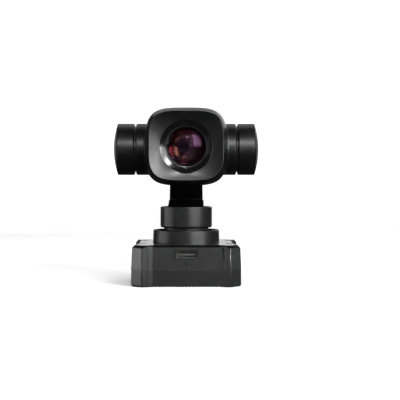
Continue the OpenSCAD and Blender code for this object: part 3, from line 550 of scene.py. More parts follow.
class Sketch:
    """Collects faces in millimetres and turns them into one mesh in metres."""

    def __init__(self) -> None:
        """Starts with no faces."""
        self.bm = bmesh.new()

    def ring(self, points: Iterable[Sequence[float]]) -> Ring:
        """Adds the points of one ring."""
        return [self.bm.verts.new(p) for p in points]

    def bridge(self, a: Ring, b: Ring, finish: int = 0) -> None:
        """Joins two rings by faces; a ring of one point is a pole.

        Args:
            a: The first ring.
            b: The next ring.
            finish: Material number of the faces.
        """
        count = max(len(a), len(b))
        if count == 1:
            return
        for i in range(count):
            j = (i + 1) % count
            corners = [a[i % len(a)], a[j % len(a)], b[j % len(b)], b[i % len(b)]]
            face = self.bm.faces.new(list(dict.fromkeys(corners)))
            face.material_index = finish

    def loft(self, rings: Sequence[Ring], closed: bool, marks: Sequence[int] = ()) -> None:
        """Joins rings that follow each other.

        Args:
            rings: Rings of vertices.
            closed: True to join the last ring to the first.
            marks: Material number of each joint between rings.
        """
        last = len(rings) if closed else len(rings) - 1
        for i in range(last):
            self.bridge(rings[i], rings[(i + 1) % len(rings)], marks[i] if marks else 0)

    def lathe(self, profile: Sequence[Point], place: Matrix) -> None:
        """Spins a profile about the place's +Z.

        Args:
            profile: Radius and height of each point; a profile off the axis is closed on itself.
            place: Where the axis is.
        """
        rings = []
        for radius, height in profile:
            if radius < TINY:
                points = [(0, 0, height)]
            else:
                points = [(radius * math.cos(a), radius * math.sin(a), height) for a in round_angles()]
            rings.append(self.ring(place @ Vector(p) for p in points))
        self.loft(rings, profile[0][0] > TINY)

    def mesh(self, name: str) -> bpy.types.Mesh:
        """Closes the sketch.

        Args:
            name: Name of the mesh.

        Returns:
            The mesh in metres with outward normals.
        """
        bmesh.ops.scale(self.bm, vec=(MM, MM, MM), verts=self.bm.verts)
        bmesh.ops.remove_doubles(self.bm, verts=self.bm.verts, dist=MERGE)
        bmesh.ops.recalc_face_normals(self.bm, faces=self.bm.faces)
        made = bpy.data.meshes.new(name)
        self.bm.to_mesh(made)
        self.bm.free()
        return made


def held(name: str, mesh: bpy.types.Mesh) -> bpy.types.Object:
    """An object at the origin in the scene that holds a mesh.

    Args:
        name: Name of the object.
        mesh: The mesh.

    Returns:
        The new object.
    """
    made = bpy.data.objects.new(name, mesh)
    bpy.context.scene.collection.objects.link(made)
    return made


def spun(name: str, profile: Sequence[Point], place: Matrix) -> bpy.types.Object:
    """A closed piece turned from a profile.

    Args:
        name: Name of the piece.
        profile: Radius and height of each point.
        place: Where the axis is.

    Returns:
        The new object.
    """
    sketch = Sketch()
    sketch.lathe(profile, place)
    return held(name, sketch.mesh(name))


def flattened(obj: bpy.types.Object) -> bpy.types.Object:
    """The object with its modifiers turned into a plain mesh.

    Args:
        obj: The object with modifiers.

    Returns:
        The same object.
    """
    graph = bpy.context.evaluated_depsgraph_get()
    mesh = bpy.data.meshes.new_from_object(obj.evaluated_get(graph))
    obj.modifiers.clear()
    obj.data = mesh
    return obj


def smoothed(obj: bpy.types.Object) -> bpy.types.Object:
    """Smooth shading that keeps flat faces flat and sharp edges sharp.

    Args:
        obj: The piece.

    Returns:
        The same piece.
    """
    obj.data.shade_smooth()
    obj.data.set_sharp_from_angle(angle=SMOOTH_ANGLE)
    made = obj.modifiers.new("face_weights", "WEIGHTED_NORMAL")
    made.keep_sharp = True
    return flattened(obj)


def carved(obj: bpy.types.Object, cutters: Sequence[bpy.types.Object]) -> bpy.types.Object:
    """Cuts other closed objects out of one and removes them.

    Args:
        obj: The object that is kept.
        cutters: The objects that are used up.

    Returns:
        The object with its new mesh.
    """
    for cutter in cutters:
        made = obj.modifiers.new("carve", "BOOLEAN")
        made.operation = "DIFFERENCE"
        made.solver = "EXACT"
        made.object = cutter
    flattened(obj)
    for cutter in cutters:
        bpy.data.objects.remove(cutter)
    return obj


def bevelled(obj: bpy.types.Object, radius_of: RadiusOf, segments: int) -> bpy.types.Object:
    """Rounds or chamfers the chosen edges of a piece.

    Args:
        obj: The piece.
        radius_of: Gives a size in millimetres from an edge's middle, direction and length.
        segments: Chords of each rounding, 1 for a chamfer.

    Returns:
        The piece with its new mesh.
    """
    bm = bmesh.new()
    bm.from_mesh(obj.data)
    layer = bm.edges.layers.float
    weights = layer.get("bevel_weight_edge") or layer.new("bevel_weight_edge")
    wanted: dict[bmesh.types.BMEdge, float] = {}
    for edge in bm.edges:
        edge[weights] = 0.0
        if edge.is_manifold and edge.calc_face_angle() > EDGE_ANGLE:
            a, b = (v.co / MM for v in edge.verts)
            wanted[edge] = radius_of((a + b) / 2, (b - a).normalized(), (b - a).length)
    widest = max(wanted.values(), default=0) or 1.0
    for edge, radius in wanted.items():
        edge[weights] = radius / widest
    bm.to_mesh(obj.data)
    bm.free()
    bevel = obj.modifiers.new("soft_edges", "BEVEL")
    bevel.limit_method = "WEIGHT"
    bevel.width = widest * MM
    bevel.segments = segments
    bevel.use_clamp_overlap = False
    return flattened(obj)


def softened(node: str, radius_of: RadiusOf, chamfer_of: RadiusOf | None = None,
             reshape: Reshape | None = None) -> bpy.types.Object:
    """A copy of a CAD node whose chosen edges are rounded.

    Args:
        node: Name of the CAD node.
        radius_of: Gives the radius of an edge.
        chamfer_of: Gives the width of an edge that is chamfered first.
        reshape: Moves points of the copy before its edges are rounded.

    Returns:
        The new object, named after the node.
    """
    bm = bmesh.new()
    bm.from_mesh(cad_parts[node].data)
    bmesh.ops.remove_doubles(bm, verts=bm.verts, dist=WELD)
    if reshape is not None:
        reshape(bm)
    bmesh.ops.dissolve_limit(bm, angle_limit=FLAT_ANGLE, verts=bm.verts, edges=bm.edges)
    mesh = bpy.data.meshes.new(node)
    bm.to_mesh(mesh)
    bm.free()
    made = held(node + "_shell", mesh)
    if chamfer_of is not None:
        made = bevelled(made, chamfer_of, 1)
    return smoothed(bevelled(made, radius_of, EDGE_CHORDS))


def marked(obj: bpy.types.Object, chosen: Callable[[Vector], bool]) -> None:
    """Gives the faces whose middle is chosen the piece's second finish."""
    for face in obj.data.polygons:
        face.material_index = int(chosen(face.center / MM))


def settle(obj: bpy.types.Object, finishes: Sequence[Finish], body: Body, slot: str, *nodes: str) -> None:
    """Gives a piece its finishes and its place among the bodies.

    Args:
        obj: The piece.
        finishes: One finish for each material number of the mesh.
        body: The body that it rides on.
        slot: The record's material slot; not used.
        nodes: CAD nodes that it stands for.
    """
    marks = [face.material_index for face in obj.data.polygons]
    obj.data.materials.clear()
    for finish in finishes:
        obj.data.materials.append(finish.material())
    obj.data.polygons.foreach_set("material_index", marks)
    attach(obj, body.value)
    if nodes:
        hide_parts(*nodes)
    log.info("piece %s: %d faces on %s", obj.name, len(obj.data.polygons), body.value)


def coat(finish: Finish, *nodes: str) -> None:
    """Gives CAD nodes that stay as they are a finish.

    Args:
        finish: The finish.
        nodes: Names of the nodes.
    """
    for node in nodes:
        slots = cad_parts[node].data.materials
        slots.clear()
        slots.append(finish.material())
        log.info("node %s: %s", node, finish.name)


# Repeated pieces


class NodeTree:
    """A Geometry Nodes tree that is built in code, with named inputs."""

    def __init__(self, name: str, inputs: dict[str, str]) -> None:
        """Starts a tree.

        Args:
            name: Name of the tree.
            inputs: Socket type of each named input.
        """
        self.tree = bpy.data.node_groups.new(name, "GeometryNodeTree")
        face = self.tree.interface
        face.new_socket("Geometry", in_out="INPUT", socket_type="NodeSocketGeometry")
        for title, kind in inputs.items():
            face.new_socket(title, in_out="INPUT", socket_type=kind)
        face.new_socket("Geometry", in_out="OUTPUT", socket_type="NodeSocketGeometry")
        self.given = self.tree.nodes.new("NodeGroupInput").outputs

    def add(self, kind: str, inputs: Inputs | None = None, **settings: object) -> bpy.types.Node:
        """Adds a node and fills its inputs.

        Args:
            kind: Blender's type name of the node.
            inputs: A value or a source socket for each input.
            settings: Properties of the node itself.

        Returns:
            The new node.
        """
        made = self.tree.nodes.new(kind)
        for name, value in settings.items():
            setattr(made, name, value)
        for name, value in (inputs or {}).items():
            if isinstance(value, Socket):
                self.tree.links.new(value, made.inputs[name])
            else:
                made.inputs[name].default_value = value
        return made

    def times(self, value: Socket, factor: float) -> Socket:
        """A value times a factor."""
        return self.add("ShaderNodeMath", {0: value, 1: factor}, operation="MULTIPLY").outputs[0]

    def lifted(self, shape: Socket, height: Socket) -> Socket:
        """A shape moved up by a height."""
        shift = self.add("ShaderNodeCombineXYZ", {"Z": height}).outputs[0]
        return self.add("GeometryNodeTransform", {"Geometry": shape, "Translation": shift}).outputs[0]

    def joined(self, *shapes: Socket) -> Socket:
        """Several shapes as one.

        Args:
            shapes: The shapes.

        Returns:
            The socket with all of them.
        """
        made = self.add("GeometryNodeJoinGeometry")
        for shape in shapes:
            self.tree.links.new(shape, made.inputs[0])
        return made.outputs[0]

    def end(self, instances: Socket) -> None:
        """Makes the instances real, gives them the material input and closes the tree.

        Args:
            instances: What the tree has made.
        """
        real = self.add("GeometryNodeRealizeInstances", {"Geometry": instances}).outputs[0]
        inputs = {"Geometry": real, "Material": self.given["Material"]}
        painted = self.add("GeometryNodeSetMaterial", inputs).outputs[0]
        self.tree.links.new(painted, self.tree.nodes.new("NodeGroupOutput").inputs[0])

    def run(self, name: str, mesh: bpy.types.Mesh, values: dict[str, object]) -> bpy.types.Object:
        """Runs the tree on a mesh.

        Args:
            name: Name of the new piece.
            mesh: The mesh that the tree starts from.
            values: A value for each named input.

        Returns:
            The piece as a plain mesh.
        """
        made = held(name, mesh)
        modifier = made.modifiers.new("rule", "NODES")
        modifier.node_group = self.tree
        for item in self.tree.interface.items_tree:
            if item.in_out == "INPUT" and item.name in values:
                modifier[item.identifier] = values[item.name]
        return flattened(made)


class ScrewTree(NodeTree):
    """Sets a socket-head screw on every point, turned the way the point faces."""

    SIZES = ("Head radius", "Head height", "Shank radius", "Shank length")
    HEAD_SIDES = 48
    SHANK_SIDES = 24
    KEY_SIDES = 6
    WALL_SHARE = 0.72
    SLOPE_SHARE = 0.28
    RIM_SHARE = 0.86
    KEY_SHARE = 0.52

    def __init__(self) -> None:
        """Builds the screw: a head with a chamfer and a six-sided socket, and its shank."""
        kinds = {size: "NodeSocketFloat" for size in self.SIZES}
        super().__init__("screw_set", {**kinds, "Material": "NodeSocketMaterial"})
        radius, height = self.given["Head radius"], self.given["Head height"]
        reach = self.given["Shank length"]
        low = self.times(height, self.WALL_SHARE)
        rim = self.times(radius, self.RIM_SHARE)
        wall = self.add("GeometryNodeMeshCone", {
            "Vertices": self.HEAD_SIDES, "Radius Top": radius, "Radius Bottom": radius, "Depth": low})
        slope = self.add("GeometryNodeMeshCone", {
            "Vertices": self.HEAD_SIDES, "Radius Top": rim, "Radius Bottom": radius,
            "Depth": self.times(height, self.SLOPE_SHARE)})
        head = self.joined(wall.outputs["Mesh"], self.lifted(slope.outputs["Mesh"], low))
        whole = self.add("GeometryNodeMergeByDistance", {"Geometry": head, "Distance": MERGE}).outputs[0]
        key = self.add("GeometryNodeMeshCylinder", {
            "Vertices": self.KEY_SIDES, "Radius": self.times(radius, self.KEY_SHARE), "Depth": height})
        sunk = self.lifted(key.outputs["Mesh"], height)
        cut = self.add("GeometryNodeMeshBoolean", {"Mesh 1": whole, "Mesh 2": sunk}, operation="DIFFERENCE")
        shank = self.add("GeometryNodeMeshCylinder", {
            "Vertices": self.SHANK_SIDES, "Radius": self.given["Shank radius"], "Depth": reach})
        below = self.lifted(shank.outputs["Mesh"], self.times(reach, -0.5))
        facing = self.add("GeometryNodeInputNamedAttribute", {"Name": "facing"}, data_type="FLOAT_VECTOR")
        turn = self.add("FunctionNodeAlignRotationToVector", {"Vector": facing.outputs[0]}, axis="Z")
        self.end(self.add("GeometryNodeInstanceOnPoints", {
            "Points": self.given["Geometry"], "Instance": self.joined(cut.outputs["Mesh"], below),
            "Rotation": turn.outputs[0]}).outputs[0])


class RowTree(NodeTree):
    """Sets a small bar on every point."""

    def __init__(self) -> None:
        """Builds the bar from its three sizes."""
        super().__init__("bar_row", {"Bar": "NodeSocketVector", "Material": "NodeSocketMaterial"})
        bar = self.add("GeometryNodeMeshCube", {"Size": self.given["Bar"]}).outputs["Mesh"]
        inputs = {"Points": self.given["Geometry"], "Instance": bar}
        self.end(self.add("GeometryNodeInstanceOnPoints", inputs).outputs[0])


def spots(name: str, points: Sequence[Spot], facing: Sequence[Spot] = ()) -> bpy.types.Mesh:
    """Bare points for a tree.

    Args:
        name: Name of the mesh.
        points: Places in millimetres.
        facing: The way that each point faces.

    Returns:
        The mesh of points.
    """
    mesh = bpy.data.meshes.new(name)
    mesh.from_pydata([tuple(c * MM for c in p) for p in points], [], [])
    if facing:
        layer = mesh.attributes.new("facing", "FLOAT_VECTOR", "POINT")
        for item, way in zip(layer.data, facing):
            item.vector = way
    return mesh


@dataclass(frozen=True)
class ScrewSize:
    """Sizes of one kind of screw."""

    shank: float
    head: float
    height: float

    def set_out(self, tree: ScrewTree, name: str, length: float, places: Sequence[Spot],
                facing: Sequence[Spot]) -> bpy.types.Object:
        """Makes the screws of one length.

        Args:
            tree: The screw tree.
            name: Name of the piece.
            length: Length of the shank.
            places: Where each head sits.
            facing: The way that each head faces.

        Returns:
            The piece that holds them.
        """
        made = tree.run(name, spots(name, places, facing), {
            "Head radius": self.head * MM, "Head height": self.height * MM, "Shank radius": self.shank * MM,
            "Shank length": length * MM, "Material": SCREW_STEEL.material()})
        return smoothed(made)


CASE_SCREW = ScrewSize(shank=0.8, head=1.5, height=1.0)
MOTOR_SCREW = ScrewSize(shank=0.6, head=1.1, height=0.7)
BOTH = (-1, 1)


# Sub-assemblies


class SubAssembly(ABC):
    """A group of pieces that is built, and then dressed."""

    @abstractmethod
    def build(self) -> None:
        """Makes the pieces that replace or join CAD nodes."""

    @abstractmethod
    def dress(self) -> None:
        """Gives the CAD nodes that stay their finishes."""


@dataclass
class BaseCase(SubAssembly):
    """The square base: two case halves, sockets, card and boards."""

    screws: ScrewTree
    rows: RowTree
    # Outline of the sides: how far out, and how far along the side
    height: float = 16.0
    seam: float = 6.7
    flat: float = 19.2
    ramps: tuple[Point, ...] = ((19.2, 12.8), (20.2, 14.4), (20.2, 15.2), (21.2, 16.3))
    flutes: tuple[Point, ...] = ((19.2, 12.9), (19.85, 14.65), (20.2, 15.0), (20.8, 16.6), (21.2, 16.95))
    ramp_slack: float = 0.03
    # Which edges are rounded, and by how much
    edge_radius: float = 0.12
    flute_radius: float = 0.12
    seam_radius: float = 0.07
    card_radius: float = 0.12
    skin: float = 0.35
    rear_skin: float = 0.5
    top_skin: float = 0.9
    top_reach: float = 1.3
    foot_reach: float = 0.7
    seam_reach: float = 0.06
    flute_start: float = 12.0
    flute_clear: float = 12.5
    least_edge: float = 1.0
    least_foot: float = 1.4
    # Chamfer, and a band along the top painted black as shade
    top_chamfer: float = 0.75
    chamfer_zone: Point = (-0.1, 0.4)
    least_chamfer: float = 0.2
    painted_shade_band: Point = (1.0, 0.03)
    # Screws, contacts of the port and pins of the rear socket
    screw_x: float = 17.0
    screw_y: float = 8.8
    screw_z: float = 14.9
    screw_length: float = 12.0
    port_z: float = 12.4
    contact_count: int = 12
    contact_pitch: float = 0.5
    contact_depth: float = 2.2
    contact_rise: float = 0.34
    contact_bar: Spot = (0.25, 1.8, 0.05)
    pin_count: int = 8
    pin_pitch: float = 1.0
    pin_depth: float = 3.6
    pin_z: float = 8.4
    pin_bar: Spot = (0.3, 2.6, 0.3)

    def edge(self, middle: Vector, way: Vector, length: float) -> float:
        """Radius of one case edge.

        Args:
            middle: The edge's middle.
            way: Its direction.
            length: Its length.

        Returns:
            The radius in millimetres, 0 for an edge that stays sharp.
        """
        near, far = sorted((abs(middle.x), abs(middle.y)))
        if far < self.flat - self.skin and middle.z < self.height - self.top_skin:
            return 0.0
        if abs(way.z) > ALONG:
            return self.flute_radius if near > self.flute_start and length > self.least_edge else 0.0
        if abs(middle.z - self.seam) < self.seam_reach:
            return 0.0 if middle.y > self.flat - self.rear_skin else self.seam_radius
        top = middle.z > self.height - self.top_reach and length > self.least_edge and near < self.flute_clear
        foot = middle.z < self.foot_reach and length > self.least_foot
        return self.edge_radius if top or foot else 0.0

    def chamfer(self, middle: Vector, way: Vector, length: float) -> float:
        """Width of the chamfer along the top of the flat sides.

        Args:
            middle: The edge's middle.
            way: Its direction.
            length: Its length.

        Returns:
            The width in millimetres, 0 for an edge without a chamfer.
        """
        start, end = (self.flat + zone for zone in self.chamfer_zone)
        level = middle.z > self.height - NEAR and abs(way.z) < ACROSS
        side = start < max(abs(middle.x), abs(middle.y)) < end
        return self.top_chamfer if level and side and length > self.least_chamfer else 0.0

    @staticmethod
    def between(points: Sequence[Point], at: float) -> float:
        """Reads a line through points.

        Args:
            points: The points in the order of their first number.
            at: The first number to read at.

        Returns:
            The second number there, or infinity beside the line.
        """
        slack = 0.01
        for (a, low), (b, high) in zip(points, points[1:]):
            if a - slack <= at <= b + slack and b > a:
                return low + (high - low) * (at - a) / (b - a)
        return math.inf

    def bend(self, vert: bmesh.types.BMVert) -> None:
        """Moves a point that lies on a straight ramp to the bent flute.

        Args:
            vert: A point of the case half.
        """
        out, across = (0, 1) if abs(vert.co.x) > abs(vert.co.y) else (1, 0)
        reach = abs(vert.co[out]) / MM
        side = abs(vert.co[across]) / MM
        lines = (self.between(self.ramps[:2], reach), self.between(self.ramps[2:], reach))
        if min(abs(side - line) for line in lines) < self.ramp_slack:
            vert.co[across] = math.copysign(self.between(self.flutes, reach) * MM, vert.co[across])

    def fluted(self, bm: bmesh.types.BMesh) -> None:
        """Bends each straight ramp of the flutes into a steep wall and a gentle slope.

        Args:
            bm: The case half in metres.
        """
        for way in (Vector((1, 0, 0)), Vector((-1, 0, 0)), Vector((0, 1, 0)), Vector((0, -1, 0))):
            for reach in (self.flutes[1][0], self.flutes[3][0]):
                whole = [*bm.verts, *bm.edges, *bm.faces]
                bmesh.ops.bisect_plane(bm, geom=whole, dist=MERGE, plane_co=way * reach * MM, plane_no=way)
        bm.normal_update()
        inner = [v for v in bm.verts if v.link_faces and all(abs(f.normal.z) > LEVEL for f in v.link_faces)]
        bmesh.ops.dissolve_verts(bm, verts=inner)
        for vert in bm.verts:
            self.bend(vert)
        bmesh.ops.remove_doubles(bm, verts=bm.verts, dist=WELD)
        bmesh.ops.dissolve_degenerate(bm, dist=TINY, edges=bm.edges)

    def bars(self, name: str, points: Sequence[Spot], size: Spot) -> None:
        """Sets gilt bars on points.

        Args:
            name: Name of the piece.
            points: Where the bars are.
            size: Size of one bar.
        """
        values = {"Bar": tuple(s * MM for s in size), "Material": GOLD_PAD.material()}
        made = self.rows.run(name, spots(name, points), values)
        settle(made, [GOLD_PAD], Body.BASE, "spacer_brass")

    def build(self) -> None:
        """Case halves with soft edges, screws, the card, contacts and pins."""
        low, high = (self.height - band for band in self.painted_shade_band)
        upper = softened("base_upper_case", self.edge, self.chamfer, self.fluted)
        # The band on the top chamfer is painted black as shade
        marked(upper, lambda at: low < at.z < high)
        settle(upper, [CASE_UPPER, EDGE_PAINTED_SHADE], Body.BASE, "base_upper_plastic", "base_upper_case")
        lower = softened("base_lower_case", self.edge, reshape=self.fluted)
        settle(lower, [CASE_LOWER], Body.BASE, "base_lower_paint", "base_lower_case")
        places = [(sx * self.screw_x, sy * self.screw_y, self.screw_z) for sx in BOTH for sy in BOTH]
        screws = CASE_SCREW.set_out(
            self.screws, "case_screw_set", self.screw_length, places, [(0, 0, 1)] * len(places))
        settle(screws, [SCREW_STEEL], Body.BASE, "screw_steel", "case_screws")
        card = softened("memory_card", lambda middle, way, length: self.card_radius)
        settle(card, [CARD], Body.CARD, "card_plastic", "memory_card")
        first = -self.contact_pitch * (self.contact_count - 1) / 2
        pads = [(first + self.contact_pitch * i, self.contact_depth - self.flat,
                 self.port_z + side * self.contact_rise) for i in range(self.contact_count) for side in BOTH]
        self.bars("port_contacts", pads, self.contact_bar)
        first = -self.pin_pitch * (self.pin_count - 1) / 2
        pins = [(first + self.pin_pitch * i, self.flat - self.pin_depth, self.pin_z)
                for i in range(self.pin_count)]
        self.bars("signal_pins", pins, self.pin_bar)

    def dress(self) -> None:
        """Finishes of the sockets, boards and spacers."""
        coat(BOARD, "main_board", "port_board")
        coat(BRASS, "board_spacers")
        coat(PORT_SHELL_PAINTED, "port_socket")
        coat(TONGUE, "port_tongue")
        coat(PIPE, "status_light_pipe")
        coat(BRIGHT_STEEL, "card_socket")
        coat(NYLON, "rear_signal_socket")


@dataclass
class YawStage(SubAssembly):
    """The two stacked discs on the base."""

    # Lower disc, the motor's housing
    base_top: float = 16.0
    housing_floor: float = 14.45
    floor_t: float = 1.0
    spigot: float = 10.25
    top: float = 21.0
    foot_radius: float = 13.28
    rim_radius: float = 13.12
    rim_round: float = 0.22
    rim_width: float = 0.3
    moat_out: float = 12.05
    moat_in: float = 10.9
    moat_floor: float = 20.2
    cup: float = 9.25
    boss_foot: float = 4.25
    boss_step: float = 1.6
    boss: float = 3.15
    boss_rise: float = 5.05
    seat: float = 2.52
    # Upper disc, the drum that turns
    drum_low: float = 22.0
    drum_high: float = 30.3
    drum_radius: float = 10.3
    drum_foot_round: float = 0.7
    drum_rim_round: float = 0.28
    drum_floor: float = 1.2
    drum_wall: float = 0.9
    shaft_hole: float = 1.5
    lid_seat: float = 9.42
    lid_depth: float = 1.3
    cavity: float = 8.4
    # Height of the painted shade band at the foot of the upper disc
    painted_shade_foot: float = 0.05

    def housing(self) -> None:
        """The lower disc with its rim, the moat behind the rim and the motor's cup; the moat and cup are
        painted black as shade.
        """
        floor = self.housing_floor
        inside = floor + self.floor_t
        # Each corner: radius, height and rounding
        corners = [
            (0, floor, 0), (self.spigot, floor, 0.2), (self.spigot, self.base_top, 0),
            (self.foot_radius, self.base_top, 0.15), (self.rim_radius, self.top, self.rim_round),
            (self.moat_out, self.top, 0.12), (self.moat_out, self.moat_floor, 0.1),
            (self.moat_in, self.moat_floor, 0.1), (self.moat_in, self.top, 0.2), (self.cup, self.top, 0.2),
            (self.cup, inside, 0), (self.boss_foot, inside, 0), (self.boss_foot, floor + self.boss_step, 0),
            (self.boss, floor + self.boss_step, 0), (self.boss, floor + self.boss_rise, 0),
            (self.seat, floor + self.boss_rise, 0), (self.seat, inside, 0), (0, inside, 0)]
        profile = rounded([(r, z) for r, z, _ in corners], [c for _, _, c in corners], steps=5)
        made = smoothed(spun("yaw_disc", profile, Matrix()))
        # The moat and cup inside the rim are painted black as shade
        marked(made, lambda at: math.hypot(at.x, at.y) < self.rim_radius - self.rim_width)
        settle(made, [DISC_GREY, GAP_PAINTED_SHADE], Body.BASE, "yaw_disc_paint", "yaw_motor_housing")

    def drum(self) -> None:
        """The upper disc, painted black underneath and inside as shade."""
        low, high, radius = self.drum_low, self.drum_high, self.drum_radius
        inside, seat = low + self.drum_floor, high - self.lid_depth
        # Each corner: radius, height and rounding
        corners = [
            (self.shaft_hole, low, 0.1), (radius, low, self.drum_foot_round),
            (radius, high, self.drum_rim_round), (self.lid_seat, high, 0.05), (self.lid_seat, seat, 0),
            (self.cavity, seat, 0.1), (self.cavity, inside, 0.2), (self.shaft_hole, inside, 0.1)]
        profile = rounded([(r, z) for r, z, _ in corners], [c for _, _, c in corners], steps=6)
        made = smoothed(spun("yaw_drum_shell", profile, Matrix()))
        painted_shade_z, painted_shade_radius = low + self.painted_shade_foot, radius - self.drum_wall
        # The underside and inside of the upper disc are painted black as shade
        marked(made, lambda at: at.z < painted_shade_z or math.hypot(at.x, at.y) < painted_shade_radius)
        settle(made, [DISC_GREY, GAP_PAINTED_SHADE], Body.YAW, "yaw_disc_paint", "yaw_drum")

    def build(self) -> None:
        """Both discs."""
        self.housing()
        self.drum()

    def dress(self) -> None:
        """Finishes of the yaw motor's inner pieces."""
        coat(IRON, "yaw_stator")
        coat(COPPER, "yaw_coils")
        coat(BRIGHT_STEEL, "yaw_bearings", "yaw_shaft")
        coat(NICKEL, "yaw_magnets")
        coat(ROTOR, "yaw_rotor")
        coat(SCREW_STEEL, "yaw_housing_screws")


@dataclass
class Neck(SubAssembly):
    """The bent neck behind the head, its cover and its screws."""

    screws: ScrewTree
    half_width: float = 6.9
    foot_z: float = 30.05
    edge_radius: float = 0.45
    edge_reach: float = 0.1
    edge_lean: float = 0.3
    least_edge: float = 0.6
    low_screw: Spot = (-3, 16.85, 27.8)
    high_screw: Spot = (-3, 30.7, 40.725)
    screw_length: float = 4.1

    def edge(self, middle: Vector, way: Vector, length: float) -> float:
        """Radius of one neck edge: the long outer ones are rounded."""
        outer = abs(middle.x) > self.half_width - self.edge_reach and abs(way.x) < self.edge_lean
        return self.edge_radius if outer and middle.z > self.foot_z and length > self.least_edge else 0.0

    def build(self) -> None:
        """Arm with soft edges, its cover, and two screws."""
        arm = softened("neck_arm", self.edge)
        settle(arm, [NECK_BLACK], Body.YAW, "neck_black", "neck_arm")
        cover = softened("neck_cover", lambda middle, way, length: 0.0)
        settle(cover, [NECK_BLACK], Body.YAW, "neck_black", "neck_cover")
        places = [self.low_screw, self.high_screw]
        screws = MOTOR_SCREW.set_out(
            self.screws, "neck_screw_set", self.screw_length, places, [(0, 0, -1), (0, 1, 0)])
        settle(screws, [SCREW_STEEL], Body.YAW, "screw_steel", "neck_screws")

    def dress(self) -> None:
        """Finish of the flex strip."""
        coat(FLEX, "neck_flex_cable")


@dataclass(frozen=True)
class DomedCap:
    """Sizes of the domed end cap that all drums share."""

    radius: float = DRUM_RADIUS
    lip: float = 0.25
    lip_share: float = 0.6
    edge: float = 0.35
    height: float = 1.9
    break_edge: float = 0.06
    steps: int = 20

    def profile(self) -> list[Point]:
        """Outline of the cap from the axis to the axis.

        Returns:
            Radius and height of each point.
        """
        inner, rise = self.radius - self.lip, self.height - self.edge
        shares = [i / self.steps for i in range(self.steps, -1, -1)]
        crown = [(inner * share, self.edge + rise * (1 - share ** 2)) for share in shares]
        foot = [(0, 0), (self.radius - self.break_edge, 0), (self.radius, self.break_edge)]
        return [*foot, (self.radius, self.lip * self.lip_share), *crown]


CAP = DomedCap()


@dataclass
class RollStage(SubAssembly):
    """The roll motor behind the head and the yoke that it turns."""

    screws: ScrewTree
    axis_z: float = PITCH_CENTRE[2]
    floor_y: float = 31.65
    radius: float = DRUM_RADIUS
    rim_reach: float = 0.6
    rim_radius: float = 0.12
    yoke_half: float = 7.25
    edge_radius: float = 0.5
    least_edge: float = 0.3
    arm_screw: Spot = (23.625, 22.4, 4.5)
    arm_length: float = 11.6
    hub_circle: float = 5.4
    hub_y: float = 21.4
    hub_count: int = 3
    hub_length: float = 4.1

    def yoke_edge(self, middle: Vector, way: Vector, length: float) -> float:
        """Radius of one yoke edge: its top and bottom outlines are rounded."""
        level = abs(abs(middle.z - self.axis_z) - self.yoke_half) < NEAR and abs(way.z) < ACROSS
        return self.edge_radius if level and length > self.least_edge else 0.0

    def housing_edge(self, middle: Vector, way: Vector, length: float) -> float:
        """Radius of one housing edge: the rims of the drum are rounded."""
        reach = math.hypot(middle.x, middle.z - self.axis_z)
        return self.rim_radius if reach > self.radius - self.rim_reach and abs(way.y) < ACROSS else 0.0

    def yoke_screws(self) -> None:
        """The screws through the yoke's arms and those of its hub."""
        x, y, rise = self.arm_screw
        arms = [(sx * x, y, self.axis_z + sz * rise) for sx in BOTH for sz in BOTH]
        bolts = CASE_SCREW.set_out(
            self.screws, "yoke_arm_screw_set", self.arm_length, arms, [(0, 1, 0)] * len(arms))
        settle(bolts, [SCREW_STEEL], Body.ROLL, "screw_steel", "yoke_screws")
        turns = [math.radians(360 / self.hub_count * i) for i in range(self.hub_count)]
        hub = [(self.hub_circle * math.cos(a), self.hub_y, self.axis_z + self.hub_circle * math.sin(a))
               for a in turns]
        bolts = MOTOR_SCREW.set_out(
            self.screws, "yoke_hub_screw_set", self.hub_length, hub, [(0, -1, 0)] * len(hub))
        settle(bolts, [SCREW_STEEL], Body.ROLL, "screw_steel")

    def build(self) -> None:
        """Housing, domed cap, yoke and screws."""
        housing = softened("roll_motor_housing", self.housing_edge)
        settle(housing, [ROLL_BLACK], Body.YAW, "drum_black", "roll_motor_housing")
        place = along(Axis.Y, (0, self.floor_y, self.axis_z))
        cap = smoothed(spun("roll_cap_dome", CAP.profile(), place))
        settle(cap, [ROLL_BLACK], Body.YAW, "drum_black", "roll_end_cap")
        yoke = softened("yoke", self.yoke_edge)
        settle(yoke, [YOKE_BLACK], Body.ROLL, "drum_black", "yoke")
        self.yoke_screws()

    def dress(self) -> None:
        """Finishes of the roll motor's inner pieces."""
        coat(IRON, "roll_stator")
        coat(COPPER, "roll_coils")
        coat(BRIGHT_STEEL, "roll_bearings", "roll_shaft")
        coat(NICKEL, "roll_magnets")
        coat(ROTOR, "roll_rotor")


